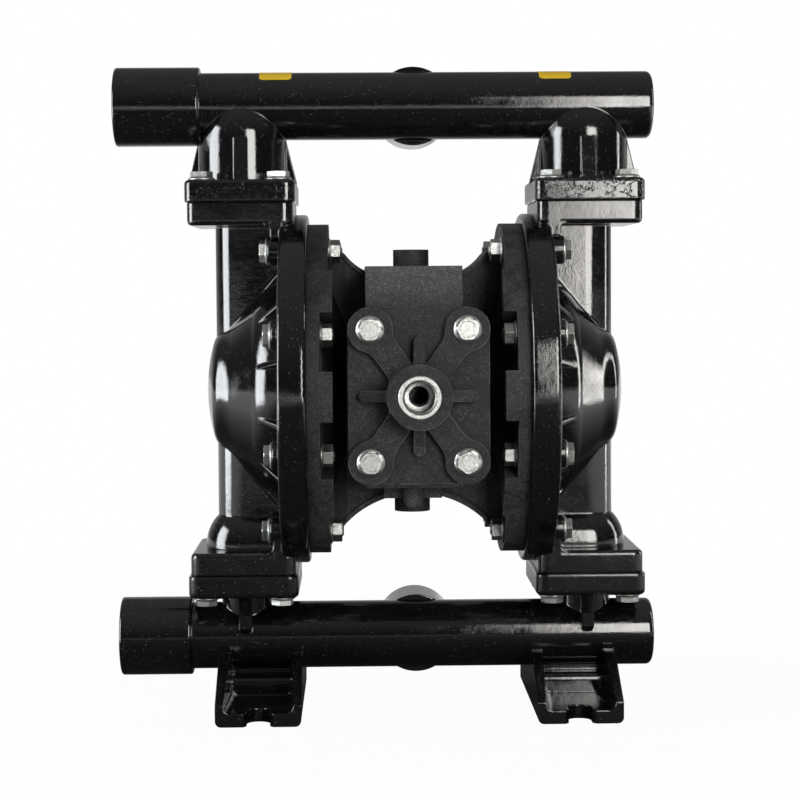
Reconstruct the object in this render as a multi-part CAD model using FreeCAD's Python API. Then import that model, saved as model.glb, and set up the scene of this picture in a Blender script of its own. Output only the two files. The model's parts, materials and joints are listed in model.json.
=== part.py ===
import FreeCAD, Part
import math
import os

# Air-operated double diaphragm pump, in millimetres.
# X runs along the diaphragm shaft with the pipe ports at -X, -Y faces the air inlet, +Z is up.
# The origin is on the floor, midway between the two feet.
# The right half is drawn at +X and the left half is its mirror image.

V = FreeCAD.Vector
X_AXIS = V(1, 0, 0)
Y_AXIS = V(0, 1, 0)
Z_AXIS = V(0, 0, 1)

# Layout
shaft_height = 216.0
column_x = 115.0
chamber_plane_x = 71.0
top_split_rise = 124.8
bottom_split_drop = 121.6
discharge_rise = 190.4
suction_drop = 167.7

# Clearances
touch_gap = 0.3
running_gap = 0.05
thread_gap = 0.1
bolt_gap = 0.5
overlap = 1.0

# Hex flange fasteners, M8
bolt_r = 4.0
bolt_af = 13.0
bolt_flange_r = 8.9
bolt_flange_t = 1.4
bolt_head_t = 5.6
nut_t = 8.0
bolt_end = 1.0
tap_margin = 2.0

# Outer chamber: round flange, dome and ribs
disc_r = 117.5
disc_t = 18.4
disc_edge_r = 2.5
bolt_circle_r = 100.0
bolt_count = 8
dome_base_r = 74.0
dome_swell = 2.6
dome_shoulder_out = 37.0
dome_shoulder_r = 61.5
dome_cap_out = 54.5
dome_cap_r = 42.5
cap_rim_out = 63.2
cap_rim_r = 36.0
nose_out = 69.0
cap_blend_r = 30.0
nose_edge_r = 12.0
dome_wall = 4.6
cavity_mouth_r = 80.0
rib_count = 12
rib_t = 3.6
rib_root_r = 83.0

# Liquid column and its two square flanges
column_r = 18.8
column_bore_r = 12.5
bulge_r = 27.2
bulge_sink = 6.8
flange_w = 69.6
flange_d = 92.0
flange_t = 15.2
flange_corner_r = 7.0
flange_edge_r = 3.0
mating_edge_r = 1.0
spot_pad_t = 3.6
ear_seat_x = 97.0
ear_back_x = 87.0
ear_face_x = 95.2
ear_fillet_r = 4.0
top_ear_reach = 8.1
low_ear_reach = 12.0
flange_bolt_x = 25.2
flange_bolt_y = 35.5
flange_bolt_grip = 12.0

# Manifolds
tube_r = 22.6
tube_bore_r = 16.0
port_hub_r = 26.4
port_end_x = 200.0
discharge_hub_len = 57.0
suction_hub_len = 48.0
hub_edge_r = 1.5
closed_end_x = 160.5
end_wall = 8.0
end_edge_r = 4.0
port_thread_r = 15.15
port_thread_len = 24.0
rear_hub_len = 46.0
plug_len = 18.0
plug_socket_w = 12.0
plug_socket_depth = 9.0
manifold_flange_w = 72.6
manifold_flange_d = 95.0
manifold_flange_t = 14.8
bell_r = 29.3
bell_rise = 43.5
bell_rib_t = 9.0
bell_rib_reach = 36.5
gusset_t = 5.0
neck_r = 17.0
neck_rib_t = 8.0
neck_rib_proud = 4.0
neck_rib_foot = 3.5

# Feet
foot_x = 105.0
foot_w = 56.0
foot_half_d = 75.0
foot_wall = 8.5
foot_wall_front_t = 5.0
foot_base_t = 10.1
foot_lip_t = 8.6
foot_post_h = 14.0
foot_edge_r = 4.0
foot_top_drop = 9.3
foot_top_half_d = 30.0
foot_web_t = 12.0
foot_shelf_half_d = 19.0
foot_shelf_rise = 23.0
foot_shelf_r = 5.0
slot_w = 15.4
slot_y = 64.6
slot_flare = 3.0

# Check valves
ball_r = 15.0
ball_lift = 8.0
seat_r = 22.0
seat_t = 9.0
seat_bore_r = 10.0
cage_gap = 0.6
channel_count = 3
channel_r = 6.0
channel_offset = 12.5
channel_rise = 3.0
seal_ring_r = 26.0
seal_section_r = 1.3

# Diaphragms, plates and shaft
stroke = 10.0
bead_r = 90.0
bead_t = 4.0
membrane_t = 3.0
convolution = 5.0
plate_r = 42.0
plate_t = 7.0
plate_edge = 2.0
plate_screw_r = 5.0
plate_screw_depth = 18.0
plate_screw_head_t = 6.0
plate_screw_af = 16.0
shaft_r = 8.0
bush_r = 12.0
bush_len = 20.0
shaft_seal_r = 13.0

# Inner (air side) chamber
inner_disc_r = 111.0
nut_seat_t = 8.5
top_seat_t = 13.5
pad_t = 16.5
pad_half_angle = 8.3
pocket_end_angle = 28.6
pad_end_angle = 46.0
pad_ring_r = 86.0
air_wall = 5.0
plate_margin = 1.0
air_floor_r = 50.0
chamber_screw_r = 3.0
chamber_screw_circle_r = 38.0
chamber_screw_len = 18.0
chamber_screw_head_r = 5.0
chamber_screw_head_t = 3.0

# Centre body
block_x = -2.3
block_half_w = 31.0
saddle_top_half_w = 32.0
block_front_y = 85.0
block_back_y = 70.0
block_top_rise = 82.0
block_drop = 60.0
saddle_half_d = 27.0
saddle_step = 3.0
saddle_slope = 0.8
saddle_sag = 1.5
web_bead_w = 4.0
web_bead_proud = 1.2
arch_drop = 69.0
arch_end_drop = 88.4
housing_drop = 69.4
arch_end_slope = 1.2
neck_half_w = 36.0
neck_half_h = 48.0
body_flange_t = 13.0
lug_r = 7.0
lug_drop = 75.5

# Air inlet cover
cover_bolt_x = 30.7
cover_bolt_z = 41.9
cover_corner_r = 14.2
cover_plane_y = 103.0
cover_t = 8.0
cover_boss_t = 5.0
cover_arm_w = 17.0
arm_boss_fillet_r = 14.0
arm_hub_fillet_r = 6.0
gasket_t = 1.0
inlet_boss_r = 20.6
inlet_face_y = 126.0
inlet_insert_r = 13.6
inlet_insert_len = 20.0
inlet_insert_proud = 0.6
inlet_thread_r = 9.5
inlet_mouth_r = 11.0
inlet_hole_r = 5.6
cover_rib_w = 7.0
cover_rib_reach = 38.0
cover_rib_t = 9.0
cover_bolt_len = 24.0

# Air valve, upright between the shaft and the cover
valve_x = -3.0
valve_y = -38.0
valve_housing = 19.0
sleeve_r = 15.0
spool_r = 11.0
spool_neck_r = 7.0
sleeve_half_len = 60.0
spool_travel = 12.0
spool_land = 16.0
end_cap_r = 11.7
top_cap_rise = 93.0
bottom_cap_drop = 79.2
cap_ring_inset = 3.0
cap_ring_section_r = 1.3

# Pilot valve, above the shaft
pilot_rise = 32.0
pilot_sleeve_r = 9.0
pilot_land_r = 6.0
pilot_land_half = 36.0
pilot_pin_r = 4.0
pilot_travel = 4.0

# Exhaust at the back
exhaust_boss_r = 21.0
exhaust_face_y = 100.0
exhaust_insert_r = 16.5
exhaust_insert_len = 20.0
exhaust_thread_r = 12.3
exhaust_mouth_r = 13.8
exhaust_hole_r = 9.0

# Values worked out from the sizes above
top_split_z = shaft_height + top_split_rise
bottom_split_z = shaft_height - bottom_split_drop
discharge_z = shaft_height + discharge_rise
suction_z = shaft_height - suction_drop
foot_top_z = suction_z - foot_top_drop
bolt_hole_r = bolt_r + bolt_gap
disc_face_x = chamber_plane_x + disc_t
nut_seat_x = chamber_plane_x - nut_seat_t
top_seat_x = chamber_plane_x - top_seat_t
pad_x = chamber_plane_x - pad_t
plate_seat_x = chamber_plane_x - membrane_t / 2
plate_back_x = plate_seat_x - plate_t
air_floor_x = plate_back_x - stroke - plate_margin
body_end_x = air_floor_x - air_wall
ball_cone_r = ball_r * math.sqrt(0.5)
seat_mouth_r = seat_bore_r + seat_t / 2
ball_rest_rise = ball_cone_r + touch_gap * math.sqrt(2) - (seat_mouth_r - ball_cone_r)
cage_r = ball_r + cage_gap
cage_top_rise = ball_rest_rise + ball_lift + math.sqrt(ball_r ** 2 - column_bore_r ** 2) + touch_gap
cover_back_y = cover_plane_y - cover_t
body_front_y = cover_back_y - gasket_t
cover_half_w = cover_bolt_x + cover_corner_r
cover_half_h = cover_bolt_z + cover_corner_r
spool_len = 2 * (sleeve_half_len - touch_gap) - spool_travel
lug_y = valve_y - sleeve_r - lug_r - touch_gap


def box(x0, x1, y0, y1, z0, z1):
    """Solid box between two corners."""
    return Part.makeBox(x1 - x0, y1 - y0, z1 - z0, V(x0, y0, z0))


def rod(r, start, direction, length):
    """Solid cylinder from a point along a direction."""
    return Part.makeCylinder(r, length, start, direction)


def rounded_box(x0, x1, y0, y1, z0, z1, corner):
    """Box whose four upright edges are rounded."""
    solid = box(x0, x1, y0, y1, z0, z1)
    upright = [e for e in solid.Edges if abs(e.tangentAt(e.FirstParameter).z) > 0.99]
    return solid.makeFillet(corner, upright)


def prism(points, direction):
    """Polygon swept along a vector."""
    face = Part.Face(Part.makePolygon(points + [points[0]]))
    return face.extrude(direction)


def turned(edges, centre, axis, angle=360.0):
    """Closed outline of edges turned round an axis."""
    return Part.Face(Part.Wire(edges)).revolve(centre, axis, angle)


def line(a, b):
    return Part.makeLine(a, b)


def arc(a, middle, b):
    return Part.Arc(a, middle, b).toShape()


def outline(points):
    """Straight edges through points, closed."""
    return [line(a, b) for a, b in zip(points, points[1:] + points[:1])]


def fuse(first, others):
    return first.fuse(others).removeSplitter()


def one_solid(shape):
    """The single solid of a boolean result."""
    return shape.Solids[0] if len(shape.Solids) == 1 else shape


def mirrored(shape):
    return shape.mirror(V(0, 0, 0), X_AXIS)


def on_axis(x, radius, angle):
    """Point at a radius and angle round the shaft, seen along X with 0 degrees to the front."""
    a = math.radians(angle)
    return V(x, -radius * math.cos(a), shaft_height + radius * math.sin(a))


def bolt_angles():
    """Chamber bolts stand half a pitch off the horizontal."""
    pitch = 360.0 / bolt_count
    return [pitch * (k + 0.5) for k in range(bolt_count)]


def is_upright(angle):
    """True for the bolts near the top and bottom, which sit on the ears."""
    a = math.radians(angle)
    return abs(math.sin(a)) > abs(math.cos(a))


def ring_sector(x0, x1, r0, r1, a0, a1):
    """Part of a flat ring round the shaft between two angles."""
    corners = [V(x0, -r0, 0), V(x1, -r0, 0), V(x1, -r1, 0), V(x0, -r1, 0)]
    face = Part.Face(Part.makePolygon(corners + [corners[0]]))
    sector = face.revolve(V(0, 0, 0), X_AXIS, -(a1 - a0))
    sector.rotate(V(0, 0, 0), X_AXIS, -a0)
    sector.translate(V(0, 0, shaft_height))
    return sector


def shaft_turned(points):
    """Outline of (x, radius) pairs turned round the shaft."""
    lifted = [V(x, 0, shaft_height + r) for x, r in points]
    return turned(outline(lifted), V(0, 0, shaft_height), X_AXIS)


def hex_prism(across_flats, height):
    """Hexagon standing on z = 0."""
    corner_r = across_flats / math.sqrt(3)
    points = [V(corner_r * math.cos(math.radians(60 * k)), corner_r * math.sin(math.radians(60 * k)), 0)
              for k in range(6)]
    return prism(points, V(0, 0, height))


def flange_bolt(length):
    """Bolt with its head above z = 0 and its shank below."""
    flange = rod(bolt_flange_r, V(0, 0, 0), Z_AXIS, bolt_flange_t)
    head = hex_prism(bolt_af, bolt_flange_t + bolt_head_t)
    shank = rod(bolt_r, V(0, 0, -length), Z_AXIS, length)
    return flange.fuse([head, shank])


def flange_nut():
    """Nut standing on z = 0."""
    flange = rod(bolt_flange_r, V(0, 0, 0), Z_AXIS, bolt_flange_t)
    body = hex_prism(bolt_af, nut_t)
    return flange.fuse(body).cut(rod(bolt_r + thread_gap, V(0, 0, 0), Z_AXIS, nut_t))


def aimed(shape, point, direction):
    """Shape drawn along +Z, moved to a point and turned to a direction."""
    moved = shape.copy()
    moved.Placement = FreeCAD.Placement(point, FreeCAD.Rotation(Z_AXIS, direction))
    return moved


def chamber_bolt_seats():
    """Angle and head seat of each chamber bolt."""
    return [(a, ear_seat_x if is_upright(a) else disc_face_x + spot_pad_t) for a in bolt_angles()]


def chamber_nut_seats():
    """Angle and nut seat of each chamber bolt."""
    return [(a, top_seat_x if is_upright(a) else nut_seat_x) for a in bolt_angles()]


def dome_body():
    """Round flange and dome, turned round the shaft."""
    base = chamber_plane_x
    z = shaft_height
    mid_x = (disc_face_x + base + dome_shoulder_out) / 2
    mid_r = (dome_base_r + dome_shoulder_r) / 2 + dome_swell
    sagitta = nose_out - cap_rim_out
    nose_r = (cap_rim_r ** 2 + sagitta ** 2) / (2 * sagitta)
    half_angle = math.asin(cap_rim_r / nose_r) / 2
    nose_mid_x = base + nose_out - nose_r * (1 - math.cos(half_angle))
    nose_mid_r = nose_r * math.sin(half_angle)
    edges = [
        line(V(base, 0, z), V(base, 0, z + disc_r)),
        line(V(base, 0, z + disc_r), V(disc_face_x, 0, z + disc_r)),
        line(V(disc_face_x, 0, z + disc_r), V(disc_face_x, 0, z + dome_base_r)),
        arc(V(disc_face_x, 0, z + dome_base_r), V(mid_x, 0, z + mid_r),
            V(base + dome_shoulder_out, 0, z + dome_shoulder_r)),
        line(V(base + dome_shoulder_out, 0, z + dome_shoulder_r), V(base + dome_cap_out, 0, z + dome_cap_r)),
        line(V(base + dome_cap_out, 0, z + dome_cap_r), V(base + cap_rim_out, 0, z + cap_rim_r)),
        arc(V(base + cap_rim_out, 0, z + cap_rim_r), V(nose_mid_x, 0, z + nose_mid_r), V(base + nose_out, 0, z)),
        line(V(base + nose_out, 0, z), V(base, 0, z)),
    ]
    body = turned(edges, V(0, 0, z), X_AXIS)
    for radius, blend in ((disc_r, disc_edge_r), (dome_cap_r, cap_blend_r), (cap_rim_r, nose_edge_r)):
        body = body.makeFillet(blend, circles_of(body, radius))
    return body


def circles_of(body, radius):
    """Full circular edges round the shaft with a given radius."""
    return [e for e in body.Edges if e.Closed and abs(e.BoundBox.ZLength - 2 * radius) < 0.01]


def dome_cavity():
    """Liquid space behind the diaphragm."""
    base = chamber_plane_x
    bead_x = base + bead_t / 2
    shoulder_x = base + dome_shoulder_out - dome_wall
    return shaft_turned([
        (base, 0), (base, bead_r), (bead_x, bead_r), (bead_x, cavity_mouth_r),
        (base + disc_t - 2 * dome_wall, cavity_mouth_r - dome_wall),
        (disc_face_x, dome_base_r - 2 * dome_wall),
        (shoulder_x, dome_shoulder_r - dome_wall),
        (base + dome_cap_out - dome_wall, dome_cap_r - dome_wall),
        (base + cap_rim_out - dome_wall, cap_rim_r - 2 * dome_wall),
        (base + nose_out - 2 * dome_wall, 0)])


def dome_rib(angle):
    """Web between the round flange and the dome shoulder."""
    inside = dome_shoulder_r - 2 * dome_wall
    outer_x = chamber_plane_x + dome_shoulder_out
    points = [V(disc_face_x - overlap, -rib_t / 2, inside), V(disc_face_x - overlap, -rib_t / 2, rib_root_r),
              V(disc_face_x, -rib_t / 2, rib_root_r), V(outer_x, -rib_t / 2, dome_shoulder_r),
              V(outer_x, -rib_t / 2, inside)]
    rib = prism(points, V(0, rib_t, 0))
    rib.rotate(V(0, 0, 0), X_AXIS, angle - 90)
    rib.translate(V(0, 0, shaft_height))
    return rib


def square_flange(width, depth, split_z, thickness):
    """Square flange between its split plane and its outer face, a signed thickness away."""
    low = min(split_z, split_z + thickness)
    plate = rounded_box(column_x - width / 2, column_x + width / 2, -depth / 2, depth / 2,
                        low, low + abs(thickness), flange_corner_r)
    for z, radius in ((split_z + thickness, flange_edge_r), (split_z, mating_edge_r)):
        rim = [e for e in plate.Edges if abs(e.BoundBox.ZMin - z) < 0.01 and abs(e.BoundBox.ZMax - z) < 0.01]
        plate = plate.makeFillet(radius, rim)
    return plate


def ear(z_face, reach):
    """Plate from a square flange's outer face along the round flange, with a fillet on its outer side."""
    half = flange_d / 2
    way = 1 if reach > 0 else -1
    r = ear_fillet_r
    low = min(z_face - way * flange_t / 2, z_face + reach)
    plate = box(ear_back_x, ear_face_x, -half, half, low, low + abs(reach) + flange_t / 2)
    start = V(ear_face_x, -half, z_face + way * r)
    end = V(ear_face_x + r, -half, z_face)
    middle = V(ear_face_x + r * (1 - math.sqrt(0.5)), -half, z_face + way * r * (1 - math.sqrt(0.5)))
    inner = V(ear_face_x - overlap, -half, z_face - way * overlap)
    edges = [arc(start, middle, end), line(end, V(end.x, -half, inner.z)), line(V(end.x, -half, inner.z), inner),
             line(inner, V(inner.x, -half, start.z)), line(V(inner.x, -half, start.z), start)]
    fillet = Part.Face(Part.Wire(edges)).extrude(V(0, 2 * half, 0))
    return [plate, fillet]


def cage_cut(split_z):
    """Space of a ball above its seat: a guide bore with side channels, then the outlet."""
    base = V(column_x, 0, split_z)
    guide = rod(cage_r, base, Z_AXIS, cage_top_rise)
    cuts = [guide]
    for k in range(channel_count):
        a = math.radians(90 + k * 360.0 / channel_count)
        offset = V(channel_offset * math.cos(a), channel_offset * math.sin(a), 0)
        cuts.append(rod(channel_r, base + offset, Z_AXIS, cage_top_rise + channel_rise))
    return cuts


def seat_cut(split_z):
    """Counterbore for the seat and groove for its seal ring, below a split plane."""
    top = V(column_x, 0, split_z)
    down = V(0, 0, -1)
    groove = rod(seal_ring_r + seal_section_r + running_gap, top, down, 2 * seal_section_r + thread_gap)
    groove = groove.cut(rod(seal_ring_r - seal_section_r - running_gap, top, down, 3 * seal_section_r))
    return [rod(seat_r + running_gap, top, down, seat_t), groove]


def flange_holes(split_z, direction, length, radius):
    """Four bolt holes of a square flange, from the split plane."""
    holes = []
    for sx in (-1, 1):
        for sy in (-1, 1):
            at = V(column_x + sx * flange_bolt_x, sy * flange_bolt_y, split_z)
            holes.append(rod(radius, at, direction, length))
    return holes


def outer_chamber():
    """Cast chamber with its liquid column, at +X."""
    z = shaft_height
    column_top = top_split_z - flange_t
    column_low = bottom_split_z + flange_t
    bulge_z = bottom_split_z + cage_top_rise - bulge_sink
    web_x = disc_face_x - overlap
    web_len = column_x - web_x
    solids = [
        rod(column_r, V(column_x, 0, column_low), Z_AXIS, column_top - column_low),
        box(web_x, column_x, -column_r, column_r, column_low, column_top),
        Part.makeSphere(bulge_r, V(column_x, 0, bulge_z)),
        rod(bulge_r, V(web_x, 0, bulge_z), X_AXIS, web_len),
        rod(bulge_r, V(column_x, 0, bottom_split_z), Z_AXIS, bulge_z - bottom_split_z),
        square_flange(flange_w, flange_d, top_split_z, -flange_t),
        square_flange(flange_w, flange_d, bottom_split_z, flange_t),
    ]
    solids += ear(column_top, -top_ear_reach) + ear(column_low, low_ear_reach)
    for a, seat_x in chamber_bolt_seats():
        pad_r = bolt_flange_r + bolt_gap
        solids.append(rod(pad_r, on_axis(web_x, bolt_circle_r, a), X_AXIS, seat_x - web_x))
    for k in range(rib_count):
        solids.append(dome_rib((k + 0.5) * 360.0 / rib_count))
    body = fuse(dome_body(), solids)
    bore_low = bottom_split_z + cage_top_rise
    cuts = [dome_cavity(),
            rod(column_bore_r, V(column_x, 0, bore_low), Z_AXIS, top_split_z - seat_t - bore_low)]
    cuts += cage_cut(bottom_split_z)
    cuts += seat_cut(top_split_z)
    cuts += flange_holes(top_split_z, V(0, 0, -1), flange_bolt_grip, bolt_r + thread_gap)
    cuts += flange_holes(bottom_split_z, Z_AXIS, flange_bolt_grip, bolt_r + thread_gap)
    below = bottom_split_z - bulge_r
    cuts.append(box(web_x, column_x + bulge_r, -bulge_r, bulge_r, below, bottom_split_z))
    for a, seat_x in chamber_bolt_seats():
        cuts.append(rod(bolt_hole_r, on_axis(chamber_plane_x, bolt_circle_r, a), X_AXIS, seat_x - chamber_plane_x))
        cuts.append(rod(bolt_flange_r + bolt_gap, on_axis(seat_x, bolt_circle_r, a), X_AXIS, disc_t))
    return one_solid(body.cut(cuts))


def inner_chamber():
    """Air side chamber with pads between its nut seats, at +X."""
    through = chamber_plane_x - body_end_x
    body = shaft_turned([
        (body_end_x, 0), (body_end_x, air_floor_r), (nut_seat_x - overlap, pad_ring_r), (pad_x, pad_ring_r),
        (pad_x, inner_disc_r), (chamber_plane_x, inner_disc_r), (chamber_plane_x, 0)])
    bead_x = chamber_plane_x - bead_t / 2
    cavity = shaft_turned([
        (air_floor_x, 0), (air_floor_x, air_floor_r), (nut_seat_x + overlap, cavity_mouth_r),
        (bead_x, cavity_mouth_r), (bead_x, bead_r), (chamber_plane_x, bead_r), (chamber_plane_x, 0)])
    outside_r = inner_disc_r + overlap
    cuts = []
    for turn in (0, 180):
        for a0, a1 in ((pad_half_angle, pocket_end_angle), (-pocket_end_angle, -pad_half_angle)):
            cuts.append(ring_sector(pad_x - overlap, nut_seat_x, pad_ring_r, outside_r, turn + a0, turn + a1))
    for middle in (90, 270):
        reach = 90 - pad_end_angle
        cuts.append(ring_sector(pad_x - overlap, top_seat_x, pad_ring_r, outside_r, middle - reach, middle + reach))
    body = fuse(body.cut(cuts), chamber_web())
    cuts = [cavity]
    for a in bolt_angles():
        cuts.append(rod(bolt_hole_r, on_axis(pad_x, bolt_circle_r, a), X_AXIS, pad_t))
    cuts.append(rod(shaft_seal_r + running_gap, V(body_end_x, 0, shaft_height), X_AXIS, air_wall))
    pilot_at = V(body_end_x, 0, shaft_height + pilot_rise)
    cuts.append(rod(pilot_pin_r + bolt_gap, pilot_at, X_AXIS, air_wall))
    for a in chamber_screw_angles():
        cuts.append(rod(chamber_screw_r + bolt_gap, on_axis(body_end_x, chamber_screw_circle_r, a), X_AXIS,
                        through))
        head_x = air_floor_x - chamber_screw_head_t
        cuts.append(rod(chamber_screw_head_r + bolt_gap, on_axis(head_x, chamber_screw_circle_r, a), X_AXIS,
                        chamber_plane_x - head_x))
    return one_solid(body.cut(cuts))


def chamber_screw_angles():
    """Screws that hold an inner chamber to the centre body."""
    return [0, 180, 270]


def web_top(x):
    """Height of the sloping top edge of the web at a distance from the middle."""
    return shaft_height + block_top_rise - saddle_step + (x - saddle_top_half_w) * saddle_slope


def web_foot(x):
    """Height of the lower edge of the web, outside the centre body."""
    return shaft_height - arch_end_drop - (x - body_end_x) * arch_end_slope


def chamber_web():
    """The web's last part, on the inner chamber, with its beads above and below."""
    x0 = body_end_x
    x1 = top_seat_x
    y = -saddle_half_d
    bead_y = y - web_bead_proud
    low0, low1 = web_foot(x0), web_foot(x1)
    top0, top1 = web_top(x0), web_top(x1)
    web = prism([V(x0, y, low0), V(x1, y, low1), V(x1, y, top1), V(x0, y, top0)], V(0, -2 * y, 0))
    parts = [web]
    for z0, z1 in ((low0, low1), (top0 - web_bead_w, top1 - web_bead_w)):
        corners = [V(x0, bead_y, z0), V(x1, bead_y, z1), V(x1, bead_y, z1 + web_bead_w),
                   V(x0, bead_y, z0 + web_bead_w)]
        parts.append(prism(corners, V(0, -2 * bead_y, 0)))
    return parts


def arch_points(y):
    """Three points of the arch under the web, from right to left."""
    end = body_end_x
    return V(end, y, web_foot(end)), V(0, y, shaft_height - arch_drop), V(-end, y, web_foot(end))


def slope_points(side, y):
    """Three points of the hollow slope on top of the web, at the left (-1) or the right (1)."""
    inner = saddle_top_half_w
    end = body_end_x
    middle = (inner + end) / 2
    return (V(side * inner, y, web_top(inner)), V(side * middle, y, web_top(middle) - saddle_sag),
            V(side * end, y, web_top(end)))


def saddle():
    """Web of the centre body: hollow slopes above and an arch below."""
    y = -saddle_half_d
    left_in, left_mid, left_end = slope_points(-1, y)
    right_in, right_mid, right_end = slope_points(1, y)
    arch_right, arch_top, arch_left = arch_points(y)
    edges = [
        line(arch_left, left_end),
        arc(left_end, left_mid, left_in),
        line(left_in, right_in),
        arc(right_in, right_mid, right_end),
        line(right_end, arch_right),
        arc(arch_right, arch_top, arch_left),
    ]
    return Part.Face(Part.Wire(edges)).extrude(V(0, 2 * saddle_half_d, 0))


def web_bead(points):
    """Band of one width above an arc, standing proud of both faces of the web."""
    a, middle, b = points
    up = V(0, 0, web_bead_w)
    edges = [arc(a, middle, b), line(b, b + up), arc(b + up, middle + up, a + up), line(a + up, a)]
    return Part.Face(Part.Wire(edges)).extrude(V(0, -2 * a.y, 0))


def web_beads():
    """Beads along the arch and the two slopes of the centre body's web."""
    y = -saddle_half_d - web_bead_proud
    down = V(0, 0, -web_bead_w)
    slopes = [[p + down for p in slope_points(side, y)] for side in (-1, 1)]
    return [web_bead(p) for p in [arch_points(y)] + slopes]


def cover_outline(half_w, half_h, corner, y, depth):
    """Rounded rectangle round the inlet, swept towards the back."""
    plate = box(-half_w, half_w, y, y + depth, shaft_height - half_h, shaft_height + half_h)
    along = [e for e in plate.Edges if abs(e.tangentAt(e.FirstParameter).y) > 0.99]
    return plate.makeFillet(corner, along)


def cover_bolt_points(y):
    """Centres of the four cover bolts at a depth."""
    return [V(sx * cover_bolt_x, y, shaft_height + sz * cover_bolt_z) for sx in (-1, 1) for sz in (-1, 1)]


def center_body():
    """Plastic housing of the air valve."""
    z = shaft_height
    block = box(block_x - block_half_w, block_x + block_half_w, -block_front_y, block_back_y,
                z - block_drop, z + block_top_rise)
    housing = box(valve_x - valve_housing, valve_x + valve_housing, valve_y - valve_housing,
                  valve_y + valve_housing, z - housing_drop, z)
    neck = box(-neck_half_w, neck_half_w, -body_front_y, 0, z - neck_half_h, z + neck_half_h)
    flange = cover_outline(cover_half_w, cover_half_h, cover_corner_r, -body_front_y, body_flange_t)
    end_boss = rod(air_floor_r, V(-body_end_x, 0, z), X_AXIS, 2 * body_end_x)
    exhaust = rod(exhaust_boss_r, V(0, 0, z), Y_AXIS, exhaust_face_y)
    lug_z = z - lug_drop + lug_r
    lug = [rod(lug_r, V(valve_x, lug_y, lug_z), Z_AXIS, lug_drop - lug_r),
           Part.makeSphere(lug_r, V(valve_x, lug_y, lug_z))]
    body = fuse(block, [housing, neck, flange, end_boss, exhaust, saddle()] + web_beads() + lug)
    reach = 2 * body_end_x
    cuts = [
        rod(bush_r + running_gap, V(-body_end_x, 0, z), X_AXIS, reach),
        rod(pilot_sleeve_r + running_gap, V(-body_end_x, 0, z + pilot_rise), X_AXIS, reach),
        rod(sleeve_r + running_gap, V(valve_x, valve_y, z - lug_drop), Z_AXIS, lug_drop + block_top_rise),
        rod(inlet_thread_r, V(0, -body_front_y, z), Y_AXIS, body_front_y + valve_y),
        rod(exhaust_insert_r + running_gap, V(0, exhaust_face_y, z), V(0, -1, 0), exhaust_insert_len),
        rod(exhaust_hole_r, V(0, exhaust_face_y, z), V(0, -1, 0), exhaust_face_y - bush_r - air_wall),
    ]
    for at in cover_bolt_points(-body_front_y):
        cuts.append(rod(bolt_r + thread_gap, at, Y_AXIS, body_flange_t))
    for a in chamber_screw_angles():
        at = on_axis(-body_end_x, chamber_screw_circle_r, a)
        cuts.append(rod(chamber_screw_r + thread_gap, at, X_AXIS, chamber_screw_len))
        at = on_axis(body_end_x, chamber_screw_circle_r, a)
        cuts.append(rod(chamber_screw_r + thread_gap, at, V(-1, 0, 0), chamber_screw_len))
    return one_solid(body.cut(cuts))


def cover_spider():
    """Hub, four arms and four bolt bosses raised on the cover, blended in plan."""
    front = -cover_plane_y
    bosses = cover_bolt_points(front)
    hub = rod(inlet_boss_r, V(0, front, shaft_height), V(0, -1, 0), cover_boss_t)
    raised = [rod(cover_corner_r, at, V(0, -1, 0), cover_boss_t) for at in bosses]
    spider = fuse(hub, raised + [cover_arm(at) for at in bosses])
    near_hub = inlet_boss_r + overlap
    for radius, inside in ((arm_boss_fillet_r, False), (arm_hub_fillet_r, True)):
        corners = []
        for e in spider.Edges:
            middle = e.CenterOfMass
            from_axis = math.hypot(middle.x, middle.z - shaft_height)
            upright = abs(e.tangentAt(e.FirstParameter).y) > 0.99
            shared = len(spider.ancestorsOfType(e, Part.Face)) == 2
            if upright and shared and (from_axis < near_hub) == inside:
                corners.append(e)
        spider = spider.makeFillet(radius, corners)
    return spider


def cover_arm(bolt_point):
    """Arm of the cover from its inlet boss to one bolt boss."""
    centre = V(0, bolt_point.y, shaft_height)
    along = bolt_point - centre
    side = V(along.z, 0, -along.x)
    side.normalize()
    side = side * (cover_arm_w / 2)
    face = Part.Face(Part.makePolygon([centre + side, bolt_point + side, bolt_point - side,
                                       centre - side, centre + side]))
    return face.extrude(V(0, -cover_boss_t, 0))


def cover_rib(angle):
    """Short rib beside the inlet boss, sloping down to the plate."""
    half = cover_rib_w / 2
    foot = -cover_plane_y + overlap
    crest = -cover_plane_y - cover_rib_t
    points = [V(-half, foot, 0), V(-half, crest, 0), V(-half, crest, inlet_boss_r),
              V(-half, -cover_plane_y - cover_rib_t / 2, cover_rib_reach), V(-half, foot, cover_rib_reach)]
    wedge = prism(points, V(cover_rib_w, 0, 0))
    depth = foot - crest
    slab = box(-half, half, crest, foot, 0, cover_rib_reach - half)
    rib = wedge.common(slab.fuse(rod(half, V(0, crest, cover_rib_reach - half), Y_AXIS, depth)))
    rib.rotate(V(0, 0, 0), Y_AXIS, angle)
    rib.translate(V(0, 0, shaft_height))
    return rib


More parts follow.
